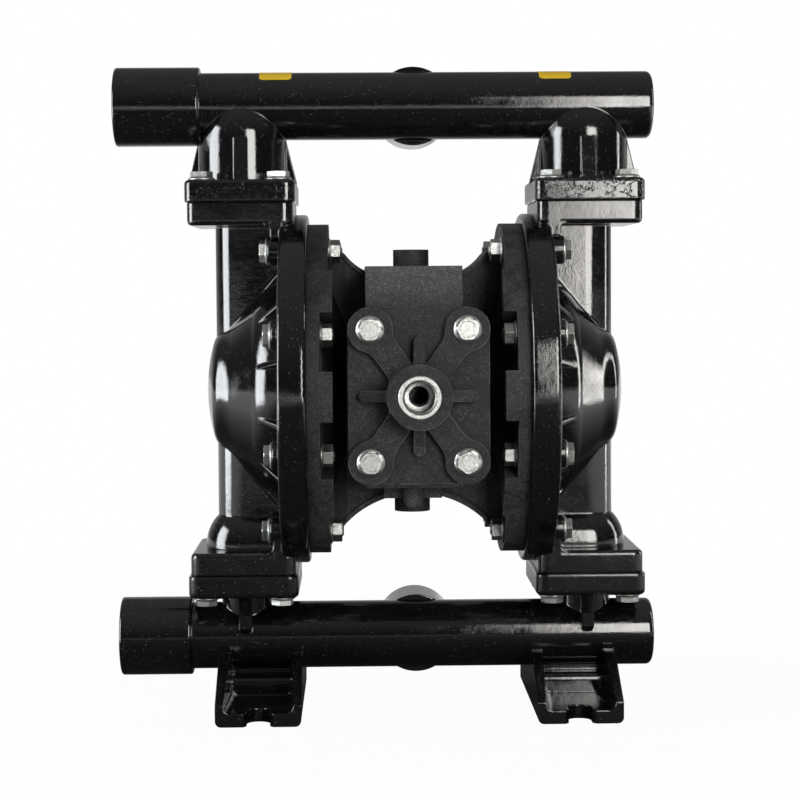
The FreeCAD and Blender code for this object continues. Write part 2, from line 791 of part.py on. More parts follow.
def air_inlet_cover():
    """Front cover with a boss for the inlet, four arms and four ribs."""
    plate = cover_outline(cover_half_w, cover_half_h, cover_corner_r, -cover_plane_y, cover_t)
    solids = [rod(inlet_boss_r, V(0, -inlet_face_y, shaft_height), Y_AXIS, inlet_face_y - cover_plane_y)]
    solids.append(cover_spider())
    solids += [cover_rib(a) for a in (0, 90, 180, 270)]
    body = fuse(plate, solids)
    through = inlet_face_y - cover_back_y
    cuts = [rod(inlet_insert_r + running_gap, V(0, -inlet_face_y, shaft_height), Y_AXIS,
                inlet_insert_len - inlet_insert_proud),
            rod(inlet_hole_r, V(0, -inlet_face_y, shaft_height), Y_AXIS, through)]
    for at in cover_bolt_points(-cover_plane_y - cover_boss_t):
        cuts.append(rod(bolt_hole_r, at, Y_AXIS, cover_t + cover_boss_t))
    return one_solid(body.cut(cuts))


def cover_gasket():
    """Flat gasket behind the cover."""
    sheet = cover_outline(cover_half_w, cover_half_h, cover_corner_r, -cover_back_y, gasket_t)
    cuts = [rod(inlet_thread_r, V(0, -cover_back_y, shaft_height), Y_AXIS, gasket_t)]
    cuts += [rod(bolt_hole_r, at, Y_AXIS, gasket_t) for at in cover_bolt_points(-cover_back_y)]
    return one_solid(sheet.cut(cuts))


def threaded_insert(radius, length, thread_r, mouth_r):
    """Metal insert with a chamfered mouth at z = 0, reaching down to -length."""
    chamfer = mouth_r - thread_r
    points = [V(thread_r, 0, -length), V(radius, 0, -length), V(radius, 0, 0), V(mouth_r, 0, 0),
              V(thread_r, 0, -chamfer)]
    return turned(outline(points), V(0, 0, 0), Z_AXIS)


def air_inlet_insert():
    at = V(0, -inlet_face_y - inlet_insert_proud, shaft_height)
    return aimed(threaded_insert(inlet_insert_r, inlet_insert_len, inlet_thread_r, inlet_mouth_r), at, V(0, -1, 0))


def exhaust_insert():
    insert = threaded_insert(exhaust_insert_r, exhaust_insert_len, exhaust_thread_r, exhaust_mouth_r)
    return aimed(insert, V(0, exhaust_face_y, shaft_height), Y_AXIS)


def cover_bolts():
    bolt = flange_bolt(cover_bolt_len)
    return Part.makeCompound([aimed(bolt, at, V(0, -1, 0))
                              for at in cover_bolt_points(-cover_plane_y - cover_boss_t)])


def chamber_bolts():
    bolts = []
    nut_outer = {a: x - nut_t for a, x in chamber_nut_seats()}
    for a, seat_x in chamber_bolt_seats():
        length = seat_x - nut_outer[a] + bolt_end
        bolts.append(aimed(flange_bolt(length), on_axis(seat_x, bolt_circle_r, a), X_AXIS))
    return Part.makeCompound(bolts)


def chamber_nuts():
    nut = flange_nut()
    return Part.makeCompound([aimed(nut, on_axis(x, bolt_circle_r, a), V(-1, 0, 0))
                              for a, x in chamber_nut_seats()])


def flange_bolts(seat_z, direction, reach):
    """Eight bolts of one manifold, with heads on its two flanges."""
    bolt = flange_bolt(reach)
    bolts = []
    for side in (-1, 1):
        for sx in (-1, 1):
            for sy in (-1, 1):
                at = V(side * column_x + sx * flange_bolt_x, sy * flange_bolt_y, seat_z)
                bolts.append(aimed(bolt, at, direction))
    return Part.makeCompound(bolts)


def manifold_tube(z, hub_len):
    """Tube with its port hub at -X and its rear hub at +Y."""
    tube = rod(tube_r, V(-port_end_x, 0, z), X_AXIS, port_end_x + closed_end_x)
    end_edge = [e for e in tube.Edges if e.Closed and e.BoundBox.XMin > 0]
    tube = tube.makeFillet(end_edge_r, end_edge)
    hub = rod(port_hub_r, V(-port_end_x, 0, z), X_AXIS, hub_len)
    hub_edges = [e for e in hub.Edges if e.Closed]
    hub = hub.makeFillet(hub_edge_r, hub_edges)
    rear = rod(port_hub_r, V(0, 0, z), Y_AXIS, rear_hub_len)
    return tube, [hub, rear]


def manifold_bores(z):
    """Passage of a manifold with its two threaded mouths."""
    return [
        rod(tube_bore_r, V(-port_end_x + port_thread_len, 0, z), X_AXIS,
            port_end_x - port_thread_len + closed_end_x - end_wall),
        rod(port_thread_r, V(-port_end_x, 0, z), X_AXIS, port_thread_len),
        rod(port_thread_r, V(0, rear_hub_len, z), V(0, -1, 0), rear_hub_len),
    ]


def both_sides(shapes):
    """Shapes at +X together with their mirror images."""
    return shapes + [mirrored(s) for s in shapes]


def bell():
    """Elbow over the discharge ball, with its front rib and side gussets."""
    low = top_split_z
    dome_z = low + bell_rise
    flange_top = low + manifold_flange_t
    solids = [
        rod(bell_r, V(column_x, 0, low), Z_AXIS, bell_rise),
        Part.makeSphere(bell_r, V(column_x, 0, dome_z)),
        square_flange(manifold_flange_w, manifold_flange_d, low, manifold_flange_t),
    ]
    half = bell_rib_t / 2
    rib = prism([V(column_x - half, 0, low), V(column_x - half, -bell_rib_reach, low),
                 V(column_x - half, -bell_rib_reach, flange_top),
                 V(column_x - half, -bell_r, dome_z), V(column_x - half, 0, dome_z)], V(bell_rib_t, 0, 0))
    edge = manifold_flange_w / 2
    gusset = prism([V(column_x - edge, -gusset_t / 2, low), V(column_x - edge, -gusset_t / 2, flange_top),
                    V(column_x - bell_r, -gusset_t / 2, dome_z), V(column_x + bell_r, -gusset_t / 2, dome_z),
                    V(column_x + edge, -gusset_t / 2, flange_top), V(column_x + edge, -gusset_t / 2, low)],
                   V(0, gusset_t, 0))
    return solids + [rib, gusset]


def discharge_manifold():
    """Top manifold: tube, hubs and two bells."""
    tube, hubs = manifold_tube(discharge_z, discharge_hub_len)
    body = fuse(tube, hubs + both_sides(bell()))
    side_cuts = cage_cut(top_split_z)
    cage_top = top_split_z + cage_top_rise
    side_cuts.append(rod(column_bore_r, V(column_x, 0, cage_top), Z_AXIS, discharge_z - cage_top))
    side_cuts += flange_holes(top_split_z, Z_AXIS, manifold_flange_t, bolt_hole_r)
    return one_solid(body.cut(manifold_bores(discharge_z) + both_sides(side_cuts)))


def suction_neck():
    """Short neck from the suction tube to its square flange, with a rib down its front."""
    flange_low = bottom_split_z - manifold_flange_t
    half = neck_rib_t / 2
    front = -tube_r - neck_rib_proud
    rib_low = suction_z + neck_rib_foot
    neck = rod(neck_r, V(column_x, 0, suction_z), Z_AXIS, flange_low - suction_z + overlap)
    rib_top = flange_low + overlap
    profile = prism([V(column_x - half, 0, rib_top), V(column_x - half, -bell_rib_reach, rib_top),
                     V(column_x - half, -bell_rib_reach, flange_low),
                     V(column_x - half, front, suction_z + neck_r), V(column_x - half, front, rib_low + half),
                     V(column_x - half, -tube_r + overlap, rib_low), V(column_x - half, 0, rib_low)],
                    V(neck_rib_t, 0, 0))
    upper = box(column_x - half, column_x + half, -bell_rib_reach, 0, rib_low + half, rib_top)
    end = rod(half, V(column_x, -bell_rib_reach, rib_low + half), Y_AXIS, bell_rib_reach)
    rib = profile.common(upper.fuse(end))
    plate = square_flange(manifold_flange_w, manifold_flange_d, bottom_split_z, -manifold_flange_t)
    return [neck, rib, plate]


def foot_cut_slot(sign):
    """Open anchor slot at the front (-1) or back (+1) of a foot."""
    x0 = foot_x - slot_w / 2
    x1 = foot_x + slot_w / 2
    y = sign * slot_y
    edge = sign * (foot_half_d + overlap)
    flare_y = sign * (foot_half_d - slot_flare)
    points = [V(x0, y, 0), V(x0, flare_y, 0), V(x0 - slot_flare, edge, 0), V(x1 + slot_flare, edge, 0),
              V(x1, flare_y, 0), V(x1, y, 0)]
    return [prism(points, V(0, 0, foot_base_t * 2)), rod(slot_w / 2, V(foot_x, y, 0), Z_AXIS, foot_base_t * 2)]


def foot():
    """Foot under the suction tube: two side walls, a middle web with a shelf and a slotted base."""
    x0 = foot_x - foot_w / 2
    x1 = foot_x + foot_w / 2
    side = [V(x0, -foot_half_d, 0), V(x0, foot_half_d, 0), V(x0, foot_half_d, foot_post_h),
            V(x0, foot_top_half_d, foot_top_z), V(x0, -foot_top_half_d, foot_top_z),
            V(x0, -foot_half_d, foot_post_h)]
    body = prism(side, V(foot_w, 0, 0))
    sole = [e for e in body.Edges if abs(e.tangentAt(e.FirstParameter).y) > 0.99 and e.BoundBox.ZMax < 0.1]
    body = body.makeFillet(foot_edge_r, sole)
    body = body.cut([foot_pocket(1), foot_pocket(-1)] + foot_cut_slot(-1) + foot_cut_slot(1))
    shelf = box(x0 + overlap, x1 - overlap, -foot_shelf_half_d, foot_shelf_half_d, foot_lip_t, foot_shelf_rise)
    crests = [e for e in shelf.Edges if abs(e.tangentAt(e.FirstParameter).x) > 0.99
              and e.BoundBox.ZMin > foot_shelf_rise - 0.1]
    return one_solid(fuse(body, [shelf.makeFillet(foot_shelf_r, crests)]))


def foot_pocket(sign):
    """Space between the side walls, in front of the web (-1) or behind it (+1)."""
    x0 = foot_x - foot_w / 2
    x1 = foot_x + foot_w / 2
    y0 = foot_web_t / 2
    y1 = foot_half_d + overlap
    rise = foot_top_z + tube_r
    near = [V(x0 + foot_wall, y0, foot_base_t), V(x1 - foot_wall, y0, foot_base_t),
            V(x1 - foot_wall, y0, rise), V(x0 + foot_wall, y0, rise)]
    far = [V(x0 + foot_wall_front_t, y1, foot_lip_t), V(x1 - foot_wall_front_t, y1, foot_lip_t),
           V(x1 - foot_wall_front_t, y1, rise), V(x0 + foot_wall_front_t, y1, rise)]
    pocket = Part.makeLoft([Part.makePolygon(loop + [loop[0]]) for loop in (near, far)], True, True)
    floor = [e for e in pocket.Edges if abs(e.tangentAt(e.FirstParameter).y) > 0.9
             and e.BoundBox.ZMax < foot_base_t + 0.1]
    pocket = pocket.makeFillet(foot_wall_front_t, floor)
    return pocket if sign > 0 else pocket.mirror(V(0, 0, 0), Y_AXIS)


def suction_manifold():
    """Bottom manifold: tube, hubs, two necks and two feet."""
    tube, hubs = manifold_tube(suction_z, suction_hub_len)
    body = fuse(tube, hubs + both_sides(suction_neck() + [foot()]))
    side_cuts = seat_cut(bottom_split_z)
    side_cuts.append(rod(column_bore_r, V(column_x, 0, suction_z), Z_AXIS,
                         bottom_split_z - seat_t - suction_z))
    flange_low = bottom_split_z - manifold_flange_t
    side_cuts += flange_holes(flange_low, Z_AXIS, manifold_flange_t, bolt_hole_r)
    return one_solid(body.cut(manifold_bores(suction_z) + both_sides(side_cuts)))


def rear_plug(z):
    """Threaded plug with a square socket, flush in a rear hub."""
    body = rod(port_thread_r - thread_gap, V(0, rear_hub_len, z), V(0, -1, 0), plug_len)
    half = plug_socket_w / 2
    socket = box(-half, half, rear_hub_len - plug_socket_depth, rear_hub_len, z - half, z + half)
    return body.cut(socket)


def valve_seat(split_z):
    """Seat ring with a cone that carries the ball, at +X."""
    points = [V(seat_bore_r, 0, -seat_t), V(seat_r, 0, -seat_t), V(seat_r, 0, 0), V(seat_mouth_r, 0, 0),
              V(seat_bore_r, 0, seat_bore_r - seat_mouth_r)]
    return aimed(turned(outline(points), V(0, 0, 0), Z_AXIS), V(column_x, 0, split_z), Z_AXIS)


def valve_ball(split_z):
    return Part.makeSphere(ball_r, V(column_x, 0, split_z + ball_rest_rise))


def seat_rings():
    """Seal rings of the four seats."""
    rings = []
    for side in (-1, 1):
        for split_z in (bottom_split_z, top_split_z):
            at = V(side * column_x, 0, split_z - seal_section_r - running_gap)
            rings.append(Part.makeTorus(seal_ring_r, seal_section_r, at, Z_AXIS))
    return Part.makeCompound(rings)


def diaphragm():
    """Clamped rim, rolled middle and flat centre, at +X."""
    z = shaft_height
    x = chamber_plane_x
    half = membrane_t / 2
    roll_r = (plate_r + cavity_mouth_r) / 2
    hole_r = plate_screw_r + bolt_gap

    def p(dx, r):
        return V(x + dx, 0, z + r)

    edges = [
        line(p(-half, hole_r), p(-half, plate_r)),
        arc(p(-half, plate_r), p(-half - convolution, roll_r), p(-half, cavity_mouth_r)),
        line(p(-half, cavity_mouth_r), p(-bead_t / 2, cavity_mouth_r)),
        line(p(-bead_t / 2, cavity_mouth_r), p(-bead_t / 2, bead_r)),
        line(p(-bead_t / 2, bead_r), p(bead_t / 2, bead_r)),
        line(p(bead_t / 2, bead_r), p(bead_t / 2, cavity_mouth_r)),
        line(p(bead_t / 2, cavity_mouth_r), p(half, cavity_mouth_r)),
        arc(p(half, cavity_mouth_r), p(half - convolution, roll_r), p(half, plate_r)),
        line(p(half, plate_r), p(half, hole_r)),
        line(p(half, hole_r), p(-half, hole_r)),
    ]
    return turned(edges, V(0, 0, z), X_AXIS)


def plate(inward):
    """Diaphragm plate on the air side (inward) or the liquid side, at +X."""
    sign = -1 if inward else 1
    face_x = chamber_plane_x + sign * membrane_t / 2
    back_x = face_x + sign * plate_t
    rim_x = face_x + sign * plate_t / 2
    hole_r = plate_screw_r + thread_gap
    return shaft_turned([(face_x, hole_r), (face_x, plate_r - plate_edge), (rim_x, plate_r - plate_edge / 2),
                         (back_x, plate_r - plate_t), (back_x, hole_r)])


def plate_screw():
    """Hex screw that clamps the plates to the shaft, at +X."""
    seat_x = chamber_plane_x + membrane_t / 2 + plate_t
    length = seat_x - plate_back_x + plate_screw_depth
    head = hex_prism(plate_screw_af, plate_screw_head_t)
    screw = head.fuse(rod(plate_screw_r, V(0, 0, -length), Z_AXIS, length))
    return aimed(screw, V(seat_x, 0, shaft_height), X_AXIS)


def diaphragm_shaft():
    """Shaft between the two inner plates, tapped at both ends."""
    start = V(-plate_back_x, 0, shaft_height)
    shaft = rod(shaft_r, start, X_AXIS, 2 * plate_back_x)
    hole_r = plate_screw_r + thread_gap
    hole_len = plate_screw_depth + tap_margin
    holes = [rod(hole_r, start, X_AXIS, hole_len),
             rod(hole_r, V(plate_back_x, 0, shaft_height), V(-1, 0, 0), hole_len)]
    return shaft.cut(holes)


def ring(r_in, r_out, start, direction, length):
    """Plain ring along a direction."""
    return rod(r_out, start, direction, length).cut(rod(r_in, start, direction, length))


def shaft_bush():
    start = V(body_end_x - bush_len, 0, shaft_height)
    return ring(shaft_r + running_gap, bush_r, start, X_AXIS, bush_len)


def shaft_seal():
    start = V(body_end_x, 0, shaft_height)
    return ring(shaft_r + running_gap, shaft_seal_r, start, X_AXIS, air_wall)


def chamber_screws():
    """Flat-head screws that hold an inner chamber to the centre body, at +X."""
    head_x = air_floor_x - chamber_screw_head_t
    screws = []
    for a in chamber_screw_angles():
        head = rod(chamber_screw_head_r, on_axis(head_x, chamber_screw_circle_r, a), X_AXIS, chamber_screw_head_t)
        shank_len = head_x - body_end_x + chamber_screw_len - tap_margin
        shank = rod(chamber_screw_r, on_axis(head_x, chamber_screw_circle_r, a), V(-1, 0, 0), shank_len)
        screws.append(head.fuse(shank))
    return Part.makeCompound(screws)


def valve_sleeve():
    """Sleeve of the main spool."""
    start = V(valve_x, valve_y, shaft_height - sleeve_half_len)
    return ring(spool_r + running_gap, sleeve_r, start, Z_AXIS, 2 * sleeve_half_len)


def main_spool():
    """Spool with three lands, resting on the bottom cap."""
    low = shaft_height - sleeve_half_len + touch_gap
    core = rod(spool_neck_r, V(valve_x, valve_y, low), Z_AXIS, spool_len)
    pitch = (spool_len - spool_land) / 2
    lands = [rod(spool_r, V(valve_x, valve_y, low + k * pitch), Z_AXIS, spool_land) for k in range(3)]
    return fuse(core, lands)


def end_cap(up):
    """Plug that closes the valve bore above (1) or below (-1), with a round boss outside."""
    along = V(0, 0, up)
    face = block_top_rise if up > 0 else housing_drop
    tip = top_cap_rise if up > 0 else bottom_cap_drop
    base = V(valve_x, valve_y, shaft_height + up * sleeve_half_len)
    plug = rod(sleeve_r, base, along, face - sleeve_half_len)
    stem = rod(end_cap_r, base, along, tip - sleeve_half_len)
    groove_at = base + along * (cap_ring_inset - cap_ring_section_r)
    groove = ring(sleeve_r - 2 * cap_ring_section_r, sleeve_r + overlap, groove_at, along, 2 * cap_ring_section_r)
    return fuse(plug, [stem]).cut(groove)


def end_cap_rings():
    """Seal rings of the two end caps."""
    rings = []
    for up in (-1, 1):
        at = V(valve_x, valve_y, shaft_height + up * (sleeve_half_len + cap_ring_inset))
        rings.append(Part.makeTorus(sleeve_r - cap_ring_section_r, cap_ring_section_r - running_gap, at, Z_AXIS))
    return Part.makeCompound(rings)


def pilot_sleeve():
    start = V(-body_end_x, 0, shaft_height + pilot_rise)
    return ring(pilot_land_r + running_gap, pilot_sleeve_r, start, X_AXIS, 2 * body_end_x)


def pilot_spool():
    """Pilot rod whose ends reach towards the inner plates."""
    z = shaft_height + pilot_rise
    tip = plate_back_x - stroke + pilot_travel - touch_gap
    pin = rod(pilot_pin_r, V(-tip, 0, z), X_AXIS, 2 * tip)
    land = rod(pilot_land_r, V(-pilot_land_half, 0, z), X_AXIS, 2 * pilot_land_half)
    return fuse(pin, [land])


def save(name, shape):
    shape.exportStep(os.path.join("parts", name + ".step"))


def save_pair(name, shape):
    """Right piece as drawn and left piece mirrored."""
    save("right_" + name, shape)
    save("left_" + name, mirrored(shape))


def main():
    os.makedirs("parts", exist_ok=True)
    save("discharge_manifold", discharge_manifold())
    save("suction_manifold", suction_manifold())
    save("center_body", center_body())
    save("air_inlet_cover", air_inlet_cover())
    save("cover_gasket", cover_gasket())
    save("air_inlet_insert", air_inlet_insert())
    save("exhaust_insert", exhaust_insert())
    save("cover_bolts", cover_bolts())
    save("diaphragm_shaft", diaphragm_shaft())
    save("valve_sleeve", valve_sleeve())
    save("main_spool", main_spool())
    save("top_end_cap", end_cap(1))
    save("bottom_end_cap", end_cap(-1))
    save("end_cap_rings", end_cap_rings())
    save("pilot_sleeve", pilot_sleeve())
    save("pilot_spool", pilot_spool())
    save("seat_rings", seat_rings())
    save("discharge_rear_plug", rear_plug(discharge_z))
    save("suction_rear_plug", rear_plug(suction_z))
    grip = manifold_flange_t + flange_bolt_grip - bolt_end
    save("discharge_flange_bolts", flange_bolts(top_split_z + manifold_flange_t, Z_AXIS, grip))
    save("suction_flange_bolts", flange_bolts(bottom_split_z - manifold_flange_t, V(0, 0, -1), grip))
    save_pair("outer_chamber", outer_chamber())
    save_pair("inner_chamber", inner_chamber())
    save_pair("diaphragm", diaphragm())
    save_pair("inner_plate", plate(True))
    save_pair("outer_plate", plate(False))
    save_pair("plate_screw", plate_screw())
    save_pair("shaft_bush", shaft_bush())
    save_pair("shaft_seal", shaft_seal())
    save_pair("chamber_screws", chamber_screws())
    save_pair("chamber_bolts", chamber_bolts())
    save_pair("chamber_nuts", chamber_nuts())
    save_pair("suction_seat", valve_seat(bottom_split_z))
    save_pair("discharge_seat", valve_seat(top_split_z))
    save_pair("suction_ball", valve_ball(bottom_split_z))
    save_pair("discharge_ball", valve_ball(top_split_z))


main()
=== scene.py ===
import json
import logging
import math
import random
from dataclasses import dataclass, field
from enum import Enum
from typing import Callable, Iterable, Sequence

import bmesh
import bpy
from mathutils import Matrix, Vector


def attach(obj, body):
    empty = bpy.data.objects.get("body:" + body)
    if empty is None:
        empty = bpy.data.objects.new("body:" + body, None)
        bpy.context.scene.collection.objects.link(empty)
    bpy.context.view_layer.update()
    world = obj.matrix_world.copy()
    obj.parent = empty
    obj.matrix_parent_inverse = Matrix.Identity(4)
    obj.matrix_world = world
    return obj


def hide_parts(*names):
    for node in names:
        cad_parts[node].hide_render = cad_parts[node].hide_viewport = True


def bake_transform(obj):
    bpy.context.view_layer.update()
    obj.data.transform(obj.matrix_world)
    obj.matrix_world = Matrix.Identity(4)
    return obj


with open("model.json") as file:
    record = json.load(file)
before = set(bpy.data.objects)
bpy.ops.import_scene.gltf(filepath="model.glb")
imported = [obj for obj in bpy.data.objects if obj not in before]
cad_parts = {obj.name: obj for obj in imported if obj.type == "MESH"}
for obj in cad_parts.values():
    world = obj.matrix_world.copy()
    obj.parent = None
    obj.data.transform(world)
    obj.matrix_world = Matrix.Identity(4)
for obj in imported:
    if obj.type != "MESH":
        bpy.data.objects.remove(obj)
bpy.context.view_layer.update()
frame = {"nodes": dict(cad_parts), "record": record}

LOG = logging.getLogger("pump")
MM = 0.001
SHAFT_Z = 0.216
SHAFT_MM = SHAFT_Z / MM
TURN = 2 * math.pi
UNIT = (0.0, 1.0)
FALL = (1.0, 0.0)
SIDES = (-1, 1)
WHITE = (1.0, 1.0, 1.0, 1.0)
Node = bpy.types.Node
Socket = bpy.types.NodeSocket
Sockets = dict[str, Socket]
Mesh = bmesh.types.BMesh


class Slot(Enum):
    """Material slots of the record."""

    CASTING = "gloss_black_casting"
    MOULDING = "black_moulding"
    RUBBER = "black_rubber"
    ZINC = "zinc_steel"
    PLUG = "dark_plug_iron"
    ALUMINIUM = "turned_aluminium"
    BRONZE = "bearing_bronze"
    STEEL = "ground_steel"
    POLYMER = "white_polymer"


class Finish(Enum):
    """Finishes that differ between castings or mouldings of one slot."""

    CHAMBER_COAT = "gloss_coat_on_chamber"
    TOP_COAT = "gloss_coat_on_top_manifold"
    LOW_COAT = "gloss_coat_on_bottom_manifold"
    BODY = "speckled_plastic_body"
    COVER = "scuffed_plastic_cover"
    LABEL = "yellow_label"


class Facing(Enum):
    """Directions in which a fastener's head can point."""

    LEFT = (-1.0, 0.0, 0.0)
    RIGHT = (1.0, 0.0, 0.0)
    FRONT = (0.0, -1.0, 0.0)
    UP = (0.0, 0.0, 1.0)
    DOWN = (0.0, 0.0, -1.0)


class Graph:
    """A node tree with short calls for adding and joining its nodes."""

    MIX_SOCKETS = (0, 6, 7)
    MIX_COLOUR = 2

    def __init__(self, tree: bpy.types.NodeTree) -> None:
        """Keeps the node tree to work on."""
        self.tree = tree

    def add(self, kind: str, settings: dict | None = None, **inputs: object) -> Node:
        """Adds a node.

        Args:
            kind: the node's type name, without the ShaderNode prefix.
            settings: attributes to set on the node.
            inputs: values or sockets by input name, with _ in place of spaces.

        Returns:
            The new node.
        """
        node = self.tree.nodes.new("ShaderNode" + kind)
        for name, value in (settings or {}).items():
            setattr(node, name, value)
        for name, value in inputs.items():
            self.put(node, name.replace("_", " "), value)
        return node

    def put(self, node: Node, socket: str | int, value: object) -> None:
        """Sets an input socket, or links an output socket to it.

        Args:
            node: the node that has the socket.
            socket: the socket's name or number.
            value: a value or an output socket.
        """
        target = node.inputs[socket]
        if isinstance(value, Socket):
            self.tree.links.new(value, target)
        else:
            target.default_value = value

    def feed(self, node: Node, terms: Iterable[object]) -> Node:
        """Sets the first inputs of a node in order.

        Args:
            node: the node.
            terms: values or sockets.

        Returns:
            The node.
        """
        for number, term in enumerate(terms):
            self.put(node, number, term)
        return node

    def math(self, operation: str, *terms: object, clamp: bool = False) -> Socket:
        """Adds a Math node with its terms in order, and gives its output."""
        node = self.add("Math", {"operation": operation, "use_clamp": clamp})
        return self.feed(node, terms).outputs[0]

    def vector_math(self, operation: str, *terms: object) -> Node:
        """Adds a Vector Math node with its terms in order."""
        return self.feed(self.add("VectorMath", {"operation": operation}), terms)

    def blend(self, factor: object, first: object, second: object) -> Socket:
        """Mixes two colours.

        Args:
            factor: share of the second colour.
            first: first colour or socket.
            second: second colour or socket.

        Returns:
            The mixed colour.
        """
        node = self.add("Mix", {"data_type": "RGBA"})
        for number, item in zip(self.MIX_SOCKETS, (factor, first, second)):
            self.put(node, number, item)
        return node.outputs[self.MIX_COLOUR]

    def span(self, value: object, old: Sequence[object], new: Sequence[object],
             kind: str = "LINEAR") -> Socket:
        """Maps a value from an old span to a new one, clamped at their ends."""
        node = self.add("MapRange", {"interpolation_type": kind})
        return self.feed(node, (value, *old, *new)).outputs[0]


class Effect(Graph):
    """A shader node group that several finishes share, built the first time it is asked for."""

    name: str = ""
    inputs: dict[str, float] = {}
    outputs: tuple[str, ...] = ("Mask",)

    def __init__(self) -> None:
        """Finds the group, or builds it."""
        made = bpy.data.node_groups.get(self.name)
        super().__init__(made or bpy.data.node_groups.new(self.name, "ShaderNodeTree"))
        if not made:
            self.build()

    def build(self) -> None:
        """Makes the group's sockets and nodes."""
        new_socket = self.tree.interface.new_socket
        new_socket("Vector", in_out="INPUT", socket_type="NodeSocketVector")
        for label, value in self.inputs.items():
            socket = new_socket(label, in_out="INPUT", socket_type="NodeSocketFloat")
            socket.default_value = value
        for label in self.outputs:
            new_socket(label, in_out="OUTPUT", socket_type="NodeSocketFloat")
        self.source = self.tree.nodes.new("NodeGroupInput")
        result = self.tree.nodes.new("NodeGroupOutput")
        for label, socket in self.fill().items():
            self.tree.links.new(socket, result.inputs[label])

    def given(self, label: str) -> Socket:
        """Socket of one of the group's inputs."""
        return self.source.outputs[label]

    def fill(self) -> Sockets:
        """Makes the nodes.

        Returns:
            The sockets for the outputs.
        """
        raise NotImplementedError

    def place(self, graph: Graph, vector: Socket, **values: object) -> Node:
        """Places the group in a material's graph, with its coordinates and number inputs."""
        return graph.add("Group", {"node_tree": self.tree}, Vector=vector, **values)


class OrangePeel(Effect):
    """Soft waves and fine grain of a sprayed coat, over flat-topped lumps of the cast skin."""

    name = "Orange peel over casting"
    inputs = {"Wave Height": 0.2, "Grain Scale": 900.0, "Grain Height": 0.2, "Lump Height": 0.0}
    outputs = ("Height",)
    lump_flank = (0.39, 0.50)
    patch_edge = (0.36, 0.60)
    patch_strength = (0.4, 1.0)

    def fill(self) -> Sockets:
        """Makes the nodes.

        Returns:
            The sockets for the outputs.
        """
        at = self.given("Vector")
        waves = self.add("TexNoise", Vector=at, Scale=300.0, Detail=1.5, Roughness=0.5)
        fine = self.add("TexNoise", Vector=at, Scale=self.given("Grain Scale"), Detail=2.0,
                        Roughness=0.6)
        patches = self.add("TexNoise", Vector=at, Scale=60.0, Detail=2.0)
        lumps = self.add("TexNoise", Vector=at, Scale=260.0, Detail=1.6, Roughness=0.5,
                         Distortion=0.8)
        flats = self.span(lumps.outputs[0], self.lump_flank, UNIT, "SMOOTHSTEP")
        uneven = self.span(patches.outputs[0], self.patch_edge, self.patch_strength)
        grain = self.math("MULTIPLY", self.math("MULTIPLY", fine.outputs[0], uneven),
                          self.given("Grain Height"))
        height = self.math("MULTIPLY_ADD", waves.outputs[0], self.given("Wave Height"), grain)
        return {"Height": self.math("MULTIPLY_ADD", flats, self.given("Lump Height"), height)}


class Nibs(Effect):
    """Small hard specks that stand in a sprayed coat."""

    name = "Nibs in the coat"
    inputs = {"Scale": 430.0}
    flank = (0.05, 0.12)

    def fill(self) -> Sockets:
        """Makes the nodes.

        Returns:
            The sockets for the outputs.
        """
        cells = self.add("TexVoronoi", Vector=self.given("Vector"), Scale=self.given("Scale"),
                         Randomness=1.0)
        return {"Mask": self.span(cells.outputs["Distance"], self.flank, FALL)}


class LevelBand(Effect):
    """Mask that is 1 between two heights and fades outside them."""

    name = "Between two heights"
    inputs = {"Low": 0.0, "High": 0.1, "Fade": 0.002}

    def fill(self) -> Sockets:
        """Makes the nodes.

        Returns:
            The sockets for the outputs.
        """
        height = self.add("SeparateXYZ", Vector=self.given("Vector")).outputs[2]
        above = self.math("SUBTRACT", height, self.given("High"))
        below = self.math("SUBTRACT", self.given("Low"), height)
        outside = self.math("MAXIMUM", above, below)
        return {"Mask": self.span(outside, (0.0, self.given("Fade")), FALL)}


class MouldedGrain(Effect):
    """Fine grain of a fibre-filled moulding, with pale specks, flow lines and cloudy patches."""

    name = "Moulded grain"
    inputs = {"Grain Scale": 1500.0}
    outputs = ("Height", "Specks", "Lines", "Clouds")
    fibre_share = 0.45
    speck_edge = (0.46, 0.74)
    fibre_edge = (0.42, 0.66)
    cloud_edge = (0.38, 0.66)
    line_edge = (0.004, 0.016)

    def fill(self) -> Sockets:
        """Makes the nodes.

        Returns:
            The sockets for the outputs.
        """
        at, scale = self.given("Vector"), self.given("Grain Scale")
        grain = self.add("TexNoise", Vector=at, Scale=scale, Detail=4.0, Roughness=0.7)
        coarse = self.math("MULTIPLY", scale, self.fibre_share)
        fibres = self.add("TexNoise", Vector=at, Scale=coarse, Detail=2.0, Distortion=1.5)
        clouds = self.add("TexNoise", Vector=at, Scale=60.0, Detail=4.0, Roughness=0.65)
        flow = self.add("TexNoise", Vector=at, Scale=85.0, Detail=3.0, Distortion=2.5)
        specks = self.span(grain.outputs[0], self.speck_edge, UNIT)
        veil = self.span(fibres.outputs[0], self.fibre_edge, UNIT)
        level = self.math("ABSOLUTE", self.math("SUBTRACT", flow.outputs[0], 0.5))
        lines = self.span(level, self.line_edge, FALL)
        marks = self.span(clouds.outputs[0], self.cloud_edge, UNIT)
        return {"Height": grain.outputs[0],
                "Specks": self.math("MULTIPLY", specks, veil, clamp=True),
                "Lines": self.math("MULTIPLY", lines, marks, clamp=True),
                "Clouds": marks}


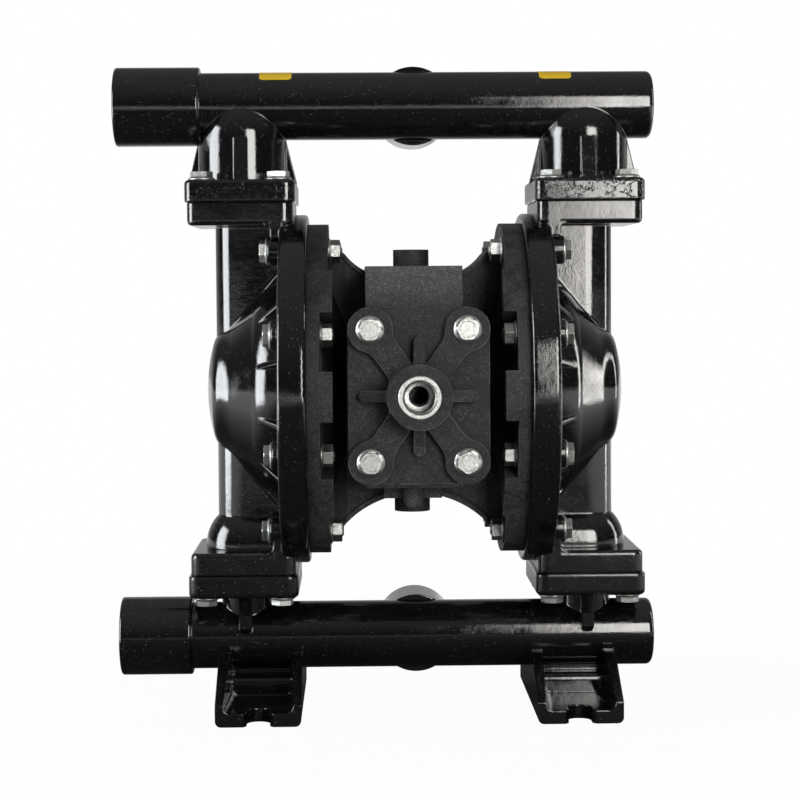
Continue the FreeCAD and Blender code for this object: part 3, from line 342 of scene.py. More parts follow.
class Dust(Effect):
    """Faint dust and handling marks that gather on faces turned up."""

    name = "Dust on top faces"
    inputs = {"Amount": 0.3}
    turned_up = (0.25, 1.0)
    upward_share = (0.15, 1.0)
    smudge_edge = (0.46, 0.72)

    def fill(self) -> Sockets:
        """Makes the nodes.

        Returns:
            The sockets for the outputs.
        """
        normal = self.add("SeparateXYZ", Vector=self.add("NewGeometry").outputs["Normal"])
        upward = self.span(normal.outputs[2], self.turned_up, self.upward_share)
        smudges = self.add("TexNoise", Vector=self.given("Vector"), Scale=70.0, Detail=5.0,
                           Roughness=0.65)
        marks = self.span(smudges.outputs[0], self.smudge_edge, UNIT)
        spread = self.math("MULTIPLY", marks, upward)
        return {"Mask": self.math("MULTIPLY", spread, self.given("Amount"), clamp=True)}


class Plating(Effect):
    """Cloudy shade changes and fine scratches of plated or turned metal."""

    name = "Plating clouds"
    inputs = {"Cloud Scale": 260.0}
    outputs = ("Clouds", "Scratches")
    stretch = (1.0, 6.0, 6.0)
    cloud_edge = (0.35, 0.66)

    def fill(self) -> Sockets:
        """Makes the nodes.

        Returns:
            The sockets for the outputs.
        """
        at = self.given("Vector")
        clouds = self.add("TexNoise", Vector=at, Scale=self.given("Cloud Scale"), Detail=3.0)
        stretched = self.vector_math("MULTIPLY", at, self.stretch).outputs[0]
        scratches = self.add("TexNoise", Vector=stretched, Scale=900.0, Detail=4.0, Roughness=0.8)
        return {"Clouds": self.span(clouds.outputs[0], self.cloud_edge, UNIT),
                "Scratches": scratches.outputs[0]}


class MaterialGraph(Graph):
    """The graph of a new material, with its Principled shader and the object's coordinates."""

    RECESS_SAMPLES = 4

    def __init__(self, name: str) -> None:
        """Makes the material.

        Args:
            name: the material's name.
        """
        self.material = bpy.data.materials.new(name)
        self.material.use_nodes = True
        super().__init__(self.material.node_tree)
        self.shader = self.tree.nodes["Principled BSDF"]
        self.at = self.add("TexCoord").outputs["Object"]

    def shade(self, socket: str, value: object) -> None:
        """Sets or links an input of the shader."""
        self.put(self.shader, socket, value)

    def rounded(self, radius: object, samples: int) -> Socket:
        """Normal with rounded edges, for a radius that may vary."""
        return self.add("Bevel", {"samples": samples}, Radius=radius).outputs[0]

    def emboss(self, height: Socket, depth: float, normal: Socket | None = None) -> None:
        """Gives the shader a bump.

        Args:
            height: the bump's height.
            depth: distance that a height of 1 stands for.
            normal: the normal below the bump, or None for the surface's own.
        """
        bump = self.add("Bump", Strength=1.0, Distance=depth, Height=height)
        if normal is not None:
            self.put(bump, "Normal", normal)
        self.shade("Normal", bump.outputs[0])

    def recess_shade(self, reach: float, openness: Sequence[float], amount: float) -> Socket:
        """Mask of painted shade in recesses: amount where the open share is low, and 0 where it is
        high.
        """
        near = self.add("AmbientOcclusion", {"samples": self.RECESS_SAMPLES}, Distance=reach)
        return self.span(near.outputs["AO"], openness, (amount, 0.0))


@dataclass(frozen=True)
class CoatedCasting:
    """Gloss coat sprayed over a casting, coarser at the heights of its square flanges."""

    name: str
    bands: tuple = ((0.0946, 0.1096), (0.3256, 0.3406))
    colour: tuple = (0.0034, 0.0031, 0.0038, 1.0)
    dusty: tuple = (0.05, 0.05, 0.05, 1.0)
    # Pale colour painted on the nibs: painted glints where the coat's nibs would catch the light.
    nib_glint: tuple = (0.16, 0.16, 0.165, 1.0)
    nib_height: float = 0.5
    roughness: float = 0.06
    band_roughness: float = 0.11
    dust_roughness: float = 0.4
    specular: float = 1.0
    edge_radius: float = 1.8 * MM
    body_edge_radius: float = 1.8 * MM
    edge_samples: int = 8
    wave_height: float = 0.10
    grain_scale: float = 1300.0
    smooth_grain: float = 0.15
    band_grain: float = 0.16
    lumps: float = 0.0
    lump_share: float = 0.12
    lump_fade: float = 20.0 * MM
    depth: float = 0.36 * MM
    dust: float = 0.04

    def build(self) -> bpy.types.Material:
        """Builds the material.

        Returns:
            The material.
        """
        g = MaterialGraph(self.name)
        masks = [LevelBand().place(g, g.at, Low=low, High=high).outputs["Mask"]
                 for low, high in self.bands]
        band = g.math("MAXIMUM", masks[0], masks[-1])
        sideways = g.add("SeparateXYZ", Vector=g.at).outputs[0]
        lumps = g.span(sideways, (0.0, self.lump_fade), (self.lumps * self.lump_share, self.lumps))
        peel = OrangePeel().place(
            g, g.at, Wave_Height=self.wave_height, Grain_Scale=self.grain_scale,
            Grain_Height=g.span(band, UNIT, (self.smooth_grain, self.band_grain)),
            Lump_Height=g.math("MULTIPLY", band, lumps))
        nibs = Nibs().place(g, g.at).outputs["Mask"]
        dust = Dust().place(g, g.at, Amount=self.dust).outputs["Mask"]
        normal = g.rounded(g.span(band, UNIT, (self.body_edge_radius, self.edge_radius)),
                           self.edge_samples)
        height = g.math("MULTIPLY_ADD", nibs, self.nib_height, peel.outputs["Height"])
        g.emboss(height, self.depth, normal)
        # Base colour: dust, then the nibs painted pale as painted glints.
        g.shade("Base Color", g.blend(nibs, g.blend(dust, self.colour, self.dusty), self.nib_glint))
        gloss = g.span(band, UNIT, (self.roughness, self.band_roughness))
        g.shade("Roughness", g.math("ADD", gloss, g.math("MULTIPLY", dust, self.dust_roughness)))
        g.shade("Specular IOR Level", self.specular)
        return g.material


@dataclass(frozen=True)
class MouldedPlastic:
    """Fibre-filled black plastic: fine grain, pale specks, edges worn and with a painted highlight,
    painted shade in recesses.
    """

    name: str = "grained_black_plastic"
    colour: tuple = (0.011, 0.0105, 0.0125, 1.0)
    cloud: tuple = (0.030, 0.029, 0.032, 1.0)
    speck: tuple = (0.16, 0.16, 0.165, 1.0)
    # Pale colour for flow lines and edge wear, also used as a painted highlight along edges.
    wear_and_edge_highlight: tuple = (0.10, 0.10, 0.105, 1.0)
    # Painted shade in recesses: this colour is painted where the open share is low.
    painted_recess_shade: tuple = (0.002, 0.002, 0.002, 1.0)
    roughness: float = 0.48
    cloud_roughness: float = 0.14
    specular: float = 0.3
    edge_radius: float = 0.9 * MM
    edge_samples: int = 6
    edge_turn: tuple = (0.86, 0.985)
    grain_scale: float = 1300.0
    depth: float = 0.26 * MM
    dust: float = 0.25
    lines: float = 0.15
    painted_shade_amount: float = 0.65
    openness: tuple = (0.35, 0.9)
    reach: float = 35.0 * MM

    def build(self) -> bpy.types.Material:
        """Builds the material.

        Returns:
            The material.
        """
        g = MaterialGraph(self.name)
        grain = MouldedGrain().place(g, g.at, Grain_Scale=self.grain_scale).outputs
        dust = Dust().place(g, g.at, Amount=self.dust).outputs["Mask"]
        normal = g.rounded(self.edge_radius, self.edge_samples)
        turn = g.vector_math("DOT_PRODUCT", normal, g.add("NewGeometry").outputs["Normal"])
        # Edges, convex and concave, painted lighter: partly wear, partly a painted highlight.
        edge = g.math("MULTIPLY", g.span(turn.outputs["Value"], self.edge_turn, FALL),
                      grain["Clouds"])
        base = g.blend(grain["Clouds"], self.colour, self.cloud)
        specked = g.blend(grain["Specks"], base, self.speck)
        lined = g.blend(g.math("MULTIPLY", grain["Lines"], self.lines), specked, self.wear_and_edge_highlight)
        edge_worn_and_lit = g.blend(edge, lined, self.wear_and_edge_highlight)
        dusted = g.blend(dust, edge_worn_and_lit, self.speck)
        # Painted shade: the base colour darkens in recesses.
        shade = g.recess_shade(self.reach, self.openness, self.painted_shade_amount)
        g.shade("Base Color", g.blend(shade, dusted, self.painted_recess_shade))
        g.emboss(grain["Height"], self.depth, normal)
        rough = (self.roughness, self.roughness + self.cloud_roughness)
        g.shade("Roughness", g.span(grain["Clouds"], UNIT, rough))
        g.shade("Specular IOR Level", self.specular)
        return g.material


@dataclass(frozen=True)
class PlatedMetal:
    """Plated or turned metal with cloudy tone changes and painted shade in its recesses."""

    name: str
    colour: tuple
    cloud: tuple
    roughness: float = 0.24
    cloud_roughness: float = 0.40
    cloud_scale: float = 260.0
    edge_radius: float = 0.35 * MM
    edge_samples: int = 4
    depth: float = 0.05 * MM
    # Painted shade in recesses: a darker colour is painted where the open share is low.
    reach: float = 2.5 * MM
    openness: tuple = (0.4, 0.85)
    painted_shade_amount: float = 0.8
    painted_recess_shade: tuple = (0.03, 0.03, 0.03, 1.0)

    def build(self) -> bpy.types.Material:
        """Builds the material.

        Returns:
            The material.
        """
        g = MaterialGraph(self.name)
        plating = Plating().place(g, g.at, Cloud_Scale=self.cloud_scale).outputs
        clouded = g.blend(plating["Clouds"], self.colour, self.cloud)
        # Painted shade: the base colour darkens in recesses.
        shade = g.recess_shade(self.reach, self.openness, self.painted_shade_amount)
        g.shade("Base Color", g.blend(shade, clouded, self.painted_recess_shade))
        rough = (self.roughness, self.cloud_roughness)
        g.shade("Roughness", g.span(plating["Clouds"], UNIT, rough))
        normal = g.rounded(self.edge_radius, self.edge_samples)
        g.emboss(plating["Scratches"], self.depth, normal)
        g.shade("Metallic", 1.0)
        return g.material


@dataclass(frozen=True)
class PlainPolymer:
    """Rubber or smooth polymer with a slight cloudiness."""

    name: str
    colour: tuple
    cloud: tuple
    roughness: float = 0.5
    roughness_spread: float = 0.06
    grain_scale: float = 700.0
    grain_span: tuple = (0.3, 0.7)
    depth: float = 0.06 * MM

    def build(self) -> bpy.types.Material:
        """Builds the material.

        Returns:
            The material.
        """
        g = MaterialGraph(self.name)
        grain = MouldedGrain().place(g, g.at, Grain_Scale=self.grain_scale).outputs
        g.shade("Base Color", g.blend(grain["Clouds"], self.colour, self.cloud))
        rough = (self.roughness - self.roughness_spread, self.roughness + self.roughness_spread)
        g.shade("Roughness", g.span(grain["Height"], self.grain_span, rough))
        g.emboss(grain["Height"], self.depth)
        return g.material


RECIPES = {
    Finish.CHAMBER_COAT: CoatedCasting(
        "gloss_coat_on_chamber", body_edge_radius=2.0 * MM, band_grain=0.26),
    Finish.TOP_COAT: CoatedCasting(
        "gloss_coat_on_top_manifold", ((0.3410, 0.3562),), edge_radius=2.4 * MM,
        body_edge_radius=1.5 * MM, lumps=0.8, band_grain=0.12),
    Finish.LOW_COAT: CoatedCasting(
        "gloss_coat_on_bottom_manifold", ((0.0790, 0.0942),), edge_radius=2.4 * MM,
        body_edge_radius=1.5 * MM, band_grain=0.18),
    Slot.PLUG: CoatedCasting("gloss_black_plug", roughness=0.2, band_roughness=0.3),
    Slot.MOULDING: MouldedPlastic(),
    Finish.BODY: MouldedPlastic(
        "speckled_plastic_body", (0.034, 0.034, 0.036, 1.0), (0.058, 0.058, 0.062, 1.0),
        (0.34, 0.34, 0.35, 1.0), depth=0.36 * MM),
    Finish.COVER: MouldedPlastic(
        "scuffed_plastic_cover", (0.009, 0.009, 0.010, 1.0), (0.019, 0.0185, 0.021, 1.0),
        (0.10, 0.10, 0.105, 1.0), (0.24, 0.24, 0.245, 1.0), grain_scale=1000.0, lines=0.3,
        painted_shade_amount=0.75, reach=8.0 * MM),
    Finish.LABEL: PlainPolymer(
        "yellow_label", (0.86, 0.58, 0.02, 1.0), (0.80, 0.52, 0.02, 1.0), 0.35),
    Slot.RUBBER: PlainPolymer(
        "black_rubber_sheet", (0.012, 0.012, 0.012, 1.0), (0.022, 0.022, 0.022, 1.0)),
    Slot.POLYMER: PlainPolymer(
        "white_fluoropolymer", (0.78, 0.78, 0.76, 1.0), (0.86, 0.86, 0.85, 1.0), 0.32),
    Slot.ZINC: PlatedMetal(
        "bright_zinc", (0.70, 0.71, 0.69, 1.0), (0.46, 0.48, 0.46, 1.0), 0.28, 0.46,
        cloud_scale=600.0, edge_radius=0.25 * MM, depth=0.09 * MM),
    Slot.ALUMINIUM: PlatedMetal(
        "turned_alloy", (0.75, 0.75, 0.76, 1.0), (0.66, 0.66, 0.67, 1.0), 0.3),
    Slot.BRONZE: PlatedMetal(
        "bored_bronze", (0.62, 0.40, 0.18, 1.0), (0.50, 0.32, 0.15, 1.0), 0.3),
    Slot.STEEL: PlatedMetal(
        "ground_bar", (0.66, 0.67, 0.68, 1.0), (0.60, 0.61, 0.62, 1.0), 0.14, 0.22),
}


class Palette:
    """All finishes, by material slot or by finish."""

    def __init__(self) -> None:
        """Builds every finish."""
        self.materials = {key: recipe.build() for key, recipe in RECIPES.items()}

    def dress(self, obj: bpy.types.Object, finish: Slot | Finish) -> None:
        """Gives a mesh object one finish, or the one of a slot."""
        obj.data.materials.clear()
        obj.data.materials.append(self.materials[finish])


def finish_mesh(name: str, mesh: Mesh, smooth_angle: float = 32.0) -> bpy.types.Object:
    """Turns a bmesh into a linked object with smooth shading between sharp edges.

    Args:
        name: the object's name.
        mesh: the bmesh, freed here.
        smooth_angle: edges sharper than this many degrees stay sharp.

    Returns:
        The new object.
    """
    bmesh.ops.recalc_face_normals(mesh, faces=mesh.faces[:])
    limit = math.radians(smooth_angle)
    for edge in mesh.edges:
        edge.smooth = len(edge.link_faces) == 2 and edge.calc_face_angle(0.0) < limit
    for face in mesh.faces:
        face.smooth = True
    data = bpy.data.meshes.new(name)
    mesh.to_mesh(data)
    mesh.free()
    obj = bpy.data.objects.new(name, data)
    bpy.context.scene.collection.objects.link(obj)
    return obj


def skin_between(mesh: Mesh, low: Sequence[bmesh.types.BMVert],
                 high: Sequence[bmesh.types.BMVert]) -> None:
    """Joins two closed rows of the same length by quads.

    Args:
        mesh: the bmesh to add to.
        low: first row.
        high: second row.
    """
    count = len(low)
    for k in range(count):
        mesh.faces.new((low[k], low[(k + 1) % count], high[(k + 1) % count], high[k]))


def ring_stack(mesh: Mesh, rings: Sequence[Sequence[tuple]], place: Matrix,
               closed_end: bool = True) -> None:
    """Joins rings of points into a skin.

    Args:
        mesh: the bmesh to add to.
        rings: rings with the same number of points.
        place: moves the points into the pump's frame.
        closed_end: whether the last ring is filled.
    """
    rows = [[mesh.verts.new(place @ Vector(p)) for p in ring] for ring in rings]
    for low, high in zip(rows, rows[1:]):
        skin_between(mesh, low, high)
    if closed_end:
        mesh.faces.new(rows[-1])


def facing_matrix(point: Sequence[float], facing: Facing, turn: float) -> Matrix:
    """Placement of a round piece drawn along +Z.

    Args:
        point: where its origin goes, in millimetres.
        facing: direction of its +Z.
        turn: turn about its own axis, in degrees.

    Returns:
        The placement, in metres.
    """
    aim = Vector((0, 0, 1)).rotation_difference(Vector(facing.value)).to_matrix().to_4x4()
    spin = Matrix.Rotation(math.radians(turn), 4, "Z")
    return Matrix.Translation(Vector(point) * MM) @ aim @ spin


@dataclass(frozen=True)
class HexFlangeShape:
    """Sizes of a hex head or nut with a washer flange, in millimetres and degrees."""

    across_flats: float = 13.0
    flange_r: float = 8.9
    flange_rim: float = 0.9
    flange_rise: float = 1.9
    foot_inset: float = 0.3
    foot_rise: float = 0.25
    rim_inset: float = 0.4
    rim_rise: float = 0.3
    neck_gap: float = 0.9
    neck_rise: float = 0.15
    height: float = 5.6
    chamfer_r: float = 6.9
    chamfer_angle: float = 30.0
    edge: float = 0.15
    repeat: float = 60.0
    steps: int = 48

    def circle(self, radius: float, z: float) -> list[tuple]:
        """Points of a circle at a height, in metres."""
        return [(radius * MM * math.cos(TURN * k / self.steps),
                 radius * MM * math.sin(TURN * k / self.steps), z * MM) for k in range(self.steps)]

    def hexagon(self, height: Callable[[float], float]) -> list[tuple]:
        """Points round the hexagon.

        Args:
            height: gives the height for a radius.

        Returns:
            The points, in metres.
        """
        points = []
        for k in range(self.steps):
            a = TURN * k / self.steps
            off = (a + math.pi / 6) % (math.pi / 3) - math.pi / 6
            r = self.across_flats / 2 / math.cos(off)
            points.append((r * MM * math.cos(a), r * MM * math.sin(a), height(r) * MM))
        return points

    def crown(self, radius: float) -> float:
        """Height of the hexagon's upper edge at a radius, with its corners chamfered."""
        drop = max(0.0, radius - self.chamfer_r) * math.tan(math.radians(self.chamfer_angle))
        return self.height - self.edge - drop

    def face(self) -> list[tuple]:
        """Outline of the top face: the hexagon with its corners cut to a circle.

        Returns:
            The points, in metres.
        """
        outline = []
        for x, y, _ in self.hexagon(self.crown):
            reach = math.hypot(x, y)
            kept = min(reach - self.edge * MM, self.chamfer_r * MM) / reach
            outline.append((x * kept, y * kept, self.height * MM))
        return outline

    def rings(self) -> list[list[tuple]]:
        """Rings from the seat up to the top face.

        Returns:
            The rings, in metres.
        """
        return [
            self.circle(self.flange_r - self.foot_inset, 0.0),
            self.circle(self.flange_r, self.foot_rise),
            self.circle(self.flange_r, self.flange_rim),
            self.circle(self.flange_r - self.rim_inset, self.flange_rim + self.rim_rise),
            self.circle(self.across_flats / 2 + self.neck_gap, self.flange_rise),
            self.hexagon(lambda r: self.flange_rise + self.neck_rise),
            self.hexagon(self.crown),
            self.face(),
        ]


@dataclass
class FastenerSet:
    """Bolts or nuts of one CAD node, as one piece, in millimetres."""

    node: str
    facing: Facing
    seats: list
    shape: HexFlangeShape = field(default_factory=HexFlangeShape)
    is_nut: bool = False
    seed: int = 1
    thread_r: float = 4.0
    tip: float = 1.0
    tip_chamfer: float = 0.5
    shank: float = 12.0
    chamfer: float = 0.6
    dish_r: float = 5.2
    dish_flank: float = 0.25
    dish_depth: float = 0.3
    dish_floor_r: float = 1.0
    bore_gap: float = 0.05
    mouth_gap: float = 0.7
    bore_depth: float = 1.4
    thread_from: float = 2.4
    thread_to: float = 0.9
    thread_depth: float = 0.45
    crest: tuple = (0.42, 0.58)
    pitch: float = 1.0
    smooth_angle: float = 24.0

    def head(self, mesh: Mesh, place: Matrix) -> None:
        """Adds a bolt head with a shallow dish on top.

        Args:
            mesh: the bmesh to add to.
            place: the head's placement.
        """
        s = self.shape
        shank = [s.circle(self.thread_r - self.chamfer, -self.shank),
                 s.circle(self.thread_r, -self.shank + self.chamfer), s.circle(self.thread_r, 0.0)]
        floor = s.height - self.dish_depth
        dish = [s.circle(self.dish_r, s.height), s.circle(self.dish_r - self.dish_flank, floor),
                s.circle(self.dish_floor_r, floor)]
        ring_stack(mesh, shank + s.rings() + dish, place)

    def nut(self, mesh: Mesh, place: Matrix) -> None:
        """Adds a nut with the bolt's threaded tip in it.

        Args:
            mesh: the bmesh to add to.
            place: the nut's placement.
        """
        s = self.shape
        top, bore_r = s.height, self.thread_r + self.bore_gap
        hole = [s.circle(self.thread_r + self.mouth_gap, top), s.circle(bore_r, top - self.chamfer),
                s.circle(bore_r, top - self.bore_depth)]
        ring_stack(mesh, s.rings() + hole, place, closed_end=False)
        rings = []
        z = top - self.thread_from
        while z < top + self.tip - self.thread_to:
            rings += [s.circle(self.thread_r - self.thread_depth, z),
                      *(s.circle(self.thread_r, z + rise) for rise in self.crest)]
            z += self.pitch
        rings += [s.circle(self.thread_r - self.tip_chamfer, top + self.tip - self.tip_chamfer),
                  s.circle(self.thread_r - 2 * self.tip_chamfer, top + self.tip)]
        ring_stack(mesh, rings, place)

    def build(self, palette: Palette) -> None:
        """Builds the piece that stands for the node.

        Args:
            palette: the finishes.
        """
        turns = random.Random(self.seed)
        mesh = bmesh.new()
        for seat in self.seats:
            place = facing_matrix(seat, self.facing, turns.uniform(0, self.shape.repeat))
            if self.is_nut:
                self.nut(mesh, place)
            else:
                self.head(mesh, place)
        obj = finish_mesh(self.node + "_detailed", mesh, self.smooth_angle)
        palette.dress(obj, Slot.ZINC)
        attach(obj, "pump")
        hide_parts(self.node)
        LOG.info("fasteners %s: %d", obj.name, len(self.seats))


@dataclass
class Fastenings:
    """Every bolt and nut that shows on the outside, in millimetres."""

    circle_r: float = 100.0
    count: int = 8
    ear_seat: float = 97.0
    pad_seat: float = 93.0
    ear_nut_seat: float = 57.5
    nut_seat: float = 62.5
    nut_height: float = 8.0
    column_x: float = 115.0
    flange_x: float = 25.2
    flange_y: float = 35.5
    top_seat_z: float = 355.6
    low_seat_z: float = 79.6
    cover_x: float = 30.7
    cover_z: float = 41.9
    cover_seat_y: float = -108.0

    def chamber_seats(self, side: int, ear: float, pad: float) -> list[tuple]:
        """Seats round one chamber.

        Args:
            side: 1 for the right chamber, -1 for the left.
            ear: how far out the seats above and below are.
            pad: how far out the others are.

        Returns:
            The points.
        """
        seats = []
        for k in range(self.count):
            a = TURN * (k + 0.5) / self.count
            x = ear if abs(math.sin(a)) > abs(math.cos(a)) else pad
            seats.append((side * x, -self.circle_r * math.cos(a),
                          SHAFT_MM + self.circle_r * math.sin(a)))
        return seats

    def flange_seats(self, z: float) -> list[tuple]:
        """Seats on the two flanges of one manifold, at one height."""
        return [(side * self.column_x + sx * self.flange_x, sy * self.flange_y, z)
                for side in SIDES for sx in SIDES for sy in SIDES]

    def cover_seats(self) -> list[tuple]:
        """Seats at the corners of the front cover."""
        return [(sx * self.cover_x, self.cover_seat_y, SHAFT_MM + sz * self.cover_z)
                for sx in SIDES for sz in SIDES]

    def build(self, palette: Palette) -> None:
        """Builds all fastener pieces.

        Args:
            palette: the finishes.
        """
        top, low = self.flange_seats(self.top_seat_z), self.flange_seats(self.low_seat_z)
        FastenerSet("cover_bolts", Facing.FRONT, self.cover_seats(), seed=11).build(palette)
        FastenerSet("discharge_flange_bolts", Facing.UP, top, seed=12).build(palette)
        FastenerSet("suction_flange_bolts", Facing.DOWN, low, seed=13).build(palette)
        nut = HexFlangeShape(height=self.nut_height)
        outward, inward = (Facing.LEFT, Facing.RIGHT), (Facing.RIGHT, Facing.LEFT)
        for name, side, out, back in zip(("left", "right"), SIDES, outward, inward):
            heads = self.chamber_seats(side, self.ear_seat, self.pad_seat)
            nuts = self.chamber_seats(side, self.ear_nut_seat, self.nut_seat)
            FastenerSet(name + "_chamber_bolts", out, heads, seed=14 + side).build(palette)
            FastenerSet(name + "_chamber_nuts", back, nuts, nut, True, 17 + side).build(palette)


@dataclass
class InletInsert:
    """Threaded metal insert in the boss of the front cover, in millimetres."""

    radius: float = 13.6
    lip: float = 0.4
    face_y: float = -126.6
    length: float = 20.0
    crest_r: float = 9.5
    root_r: float = 10.45
    mouth_r: float = 11.0
    pitch: float = 1.81
    flank: float = 3.0
    stop_depth: float = 17.6
    hole_r: float = 6.2
    hole_chamfer: float = 0.5
    around: int = 72
    per_turn: int = 8

    def wall(self, angle: float, depth: float) -> float:
        """Radius of the threaded wall.

        Args:
            angle: angle round the axis.
            depth: depth below the face.

        Returns:
            The radius.
        """
        phase = (depth / self.pitch - angle / TURN) % 1.0
        wave = min(1.0, max(0.0, self.flank / 2 - self.flank * abs(phase - 0.5)))
        return self.crest_r + (self.root_r - self.crest_r) * (1.0 - wave)

    def ring(self, depth: float, radius: float | None = None) -> list[tuple]:
        """Points at a depth below the face.

        Args:
            depth: the depth.
            radius: the circle's radius, or None for the threaded wall.

        Returns:
            The points, in metres.
        """
        points = []
        for k in range(self.around):
            a = TURN * k / self.around
            r = self.wall(a, depth) if radius is None else radius
            points.append((r * MM * math.cos(a), r * MM * math.sin(a), -depth * MM))
        return points

    def build(self, palette: Palette) -> None:
        """Builds the insert.

        Args:
            palette: the finishes.
        """
        rings = [self.ring(self.length, self.radius), self.ring(self.lip, self.radius),
                 self.ring(0.0, self.radius - self.lip), self.ring(0.0, self.mouth_r)]
        depth = self.mouth_r - self.crest_r
        while depth < self.stop_depth:
            rings.append(self.ring(depth))
            depth += self.pitch / self.per_turn
        rings += [self.ring(self.stop_depth, self.hole_r + self.hole_chamfer),
                  self.ring(self.stop_depth + self.hole_chamfer, self.hole_r),
                  self.ring(self.length, self.hole_r)]
        mesh = bmesh.new()
        place = facing_matrix((0, self.face_y, SHAFT_MM), Facing.FRONT, 0)
        ring_stack(mesh, rings, place, closed_end=False)
        obj = finish_mesh("air_inlet_insert_threaded", mesh)
        palette.dress(obj, Slot.ZINC)
        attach(obj, "pump")
        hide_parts("air_inlet_insert")
        LOG.info("insert %s", obj.name)


@dataclass
class BlankLabels:
    """Two blank labels wrapped over the top tube, in millimetres and degrees."""

    tube_r: float = 22.6
    tube_z: float = 406.4
    lift: float = 0.02
    centres: tuple = (-92.0, 95.0)
    width: float = 21.5
    thickness: float = 0.12
    from_angle: float = 47.0
    to_angle: float = 107.0
    corner: float = 2.0
    steps: int = 16

    def edge_inset(self, along: float) -> float:
        """Inset of the long side near a rounded corner.

        Args:
            along: arc length from the label's front edge.

        Returns:
            The inset.
        """
        length = math.radians(self.to_angle - self.from_angle) * self.tube_r
        near = min(along, length - along)
        if near >= self.corner:
            return 0.0
        return self.corner - math.sqrt(max(0.0, self.corner ** 2 - (self.corner - near) ** 2))

    def row(self, centre: float, step: int) -> list[Vector]:
        """Corners of the section across a label at one step.

        Args:
            centre: the label's place along the tube.
            step: number of the step.

        Returns:
            The points, in metres.
        """
        turned = (self.to_angle - self.from_angle) * step / self.steps
        angle = math.radians(self.from_angle + turned)
        along = (angle - math.radians(self.from_angle)) * self.tube_r
        half = self.width / 2 - self.edge_inset(along)
        points = []
        for rise, side in ((0.0, -1), (self.thickness, -1), (self.thickness, 1), (0.0, 1)):
            r = self.tube_r + self.lift + rise
            points.append(Vector((centre + side * half, -r * math.cos(angle),
                                  self.tube_z + r * math.sin(angle))) * MM)
        return points

    def build(self, palette: Palette) -> None:
        """Builds both labels.

        Args:
            palette: the finishes.
        """
        for number, centre in enumerate(self.centres):
            mesh = bmesh.new()
            rows = [[mesh.verts.new(p) for p in self.row(centre, k)] for k in range(self.steps + 1)]
            for low, high in zip(rows, rows[1:]):
                skin_between(mesh, low, high)
            mesh.faces.new(rows[0])
            mesh.faces.new(rows[-1])
            obj = finish_mesh(f"blank_label_{number + 1}", mesh)
            palette.dress(obj, Finish.LABEL)
            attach(obj, "pump")
            LOG.info("label %s", obj.name)


@dataclass
class RollingDiaphragm:
    """Diaphragm of one side, in millimetres, with a rolled sheet between its middle and its bead.
    """

    side: int
    plane_x: float = 71.0
    hole_r: float = 5.5
    plate_r: float = 42.0
    mouth_r: float = 80.0
    bead_r: float = 90.0
    bead_t: float = 4.0
    sheet_t: float = 3.0
    roll: float = 5.0
    roll_steps: int = 10
    turn_steps: int = 96

    def roll_points(self, face: float) -> list[tuple]:
        """Points of the roll on one face of the sheet, outwards.

        Args:
            face: the face's offset from the middle of the sheet.

        Returns:
            The points, as (X offset, radius).
        """
        half = (self.mouth_r - self.plate_r) / 2
        bend_r = (half * half + self.roll * self.roll) / (2 * self.roll)
        points = []
        for k in range(self.roll_steps + 1):
            off = half * (2 * k / self.roll_steps - 1)
            sag = math.sqrt(bend_r * bend_r - off * off) - (bend_r - self.roll)
            points.append((face - sag, self.plate_r + half + off))
        return points

    def outline(self) -> list[tuple]:
        """Closed outline of the section.

        Returns:
            The points, as (X offset, radius).
        """
        half, bead = self.sheet_t / 2, self.bead_t / 2
        rim = [(-bead, self.mouth_r), (-bead, self.bead_r), (bead, self.bead_r),
               (bead, self.mouth_r)]
        return [(-half, self.hole_r), *self.roll_points(-half), *rim,
                *reversed(self.roll_points(half)), (half, self.hole_r)]

    def build(self, palette: Palette) -> None:
        """Builds the diaphragm.

        Args:
            palette: the finishes.
        """
        name = "left_diaphragm" if self.side < 0 else "right_diaphragm"
        mesh = bmesh.new()
        rows = []
        for k in range(self.turn_steps):
            a = TURN * k / self.turn_steps
            rows.append([mesh.verts.new(Vector((self.side * (self.plane_x + dx), r * math.cos(a),
                                                SHAFT_MM + r * math.sin(a))) * MM)
                         for dx, r in self.outline()])
        for low, high in zip(rows, rows[1:] + rows[:1]):
            skin_between(mesh, low, high)
        obj = finish_mesh(name + "_rolling", mesh)
        palette.dress(obj, Slot.RUBBER)
        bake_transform(obj)
        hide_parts(name)
        LOG.info("diaphragm %s", obj.name)


@dataclass
class CarriedOver:
    """CAD nodes that keep their shape and get a finish."""

    record: dict
    finishes: dict = field(default_factory=lambda: {
        "discharge_manifold": Finish.TOP_COAT,
        "suction_manifold": Finish.LOW_COAT,
        "left_outer_chamber": Finish.CHAMBER_COAT,
        "right_outer_chamber": Finish.CHAMBER_COAT,
        "center_body": Finish.BODY,
        "air_inlet_cover": Finish.COVER,
    })

    def build(self, palette: Palette, nodes: dict) -> None:
        """Dresses every CAD node.

        Args:
            palette: the finishes.
            nodes: CAD node objects by name.
        """
        for row in self.record["subparts"]:
            finish = self.finishes.get(row["node"], Slot(row["material_slot"]))
            palette.dress(nodes[row["node"]], finish)
            LOG.info("node %s: %s", row["node"], finish.value)


@dataclass(frozen=True)
class SoftBox:
    """A rectangular lamp that the camera doesn't see."""

    name: str
    place: tuple
    target: tuple
    size: tuple
    radiance: float
    tint: tuple
    mirrored: bool = True

    def build(self) -> None:
        """Adds the lamp, with a radiance of 1 as bright as white."""
        data = bpy.data.lights.new(self.name, "AREA")
        data.color = self.tint
        data.shape = "RECTANGLE"
        data.size, data.size_y = self.size
        data.energy = self.radiance * math.pi * self.size[0] * self.size[1]
        obj = bpy.data.objects.new(self.name, data)
        obj.location = self.place
        obj.visible_camera = False
        obj.visible_glossy = self.mirrored
        aim = Vector(self.target) - Vector(self.place)
        obj.rotation_euler = aim.to_track_quat("-Z", "Y").to_euler()
        bpy.context.scene.collection.objects.link(obj)


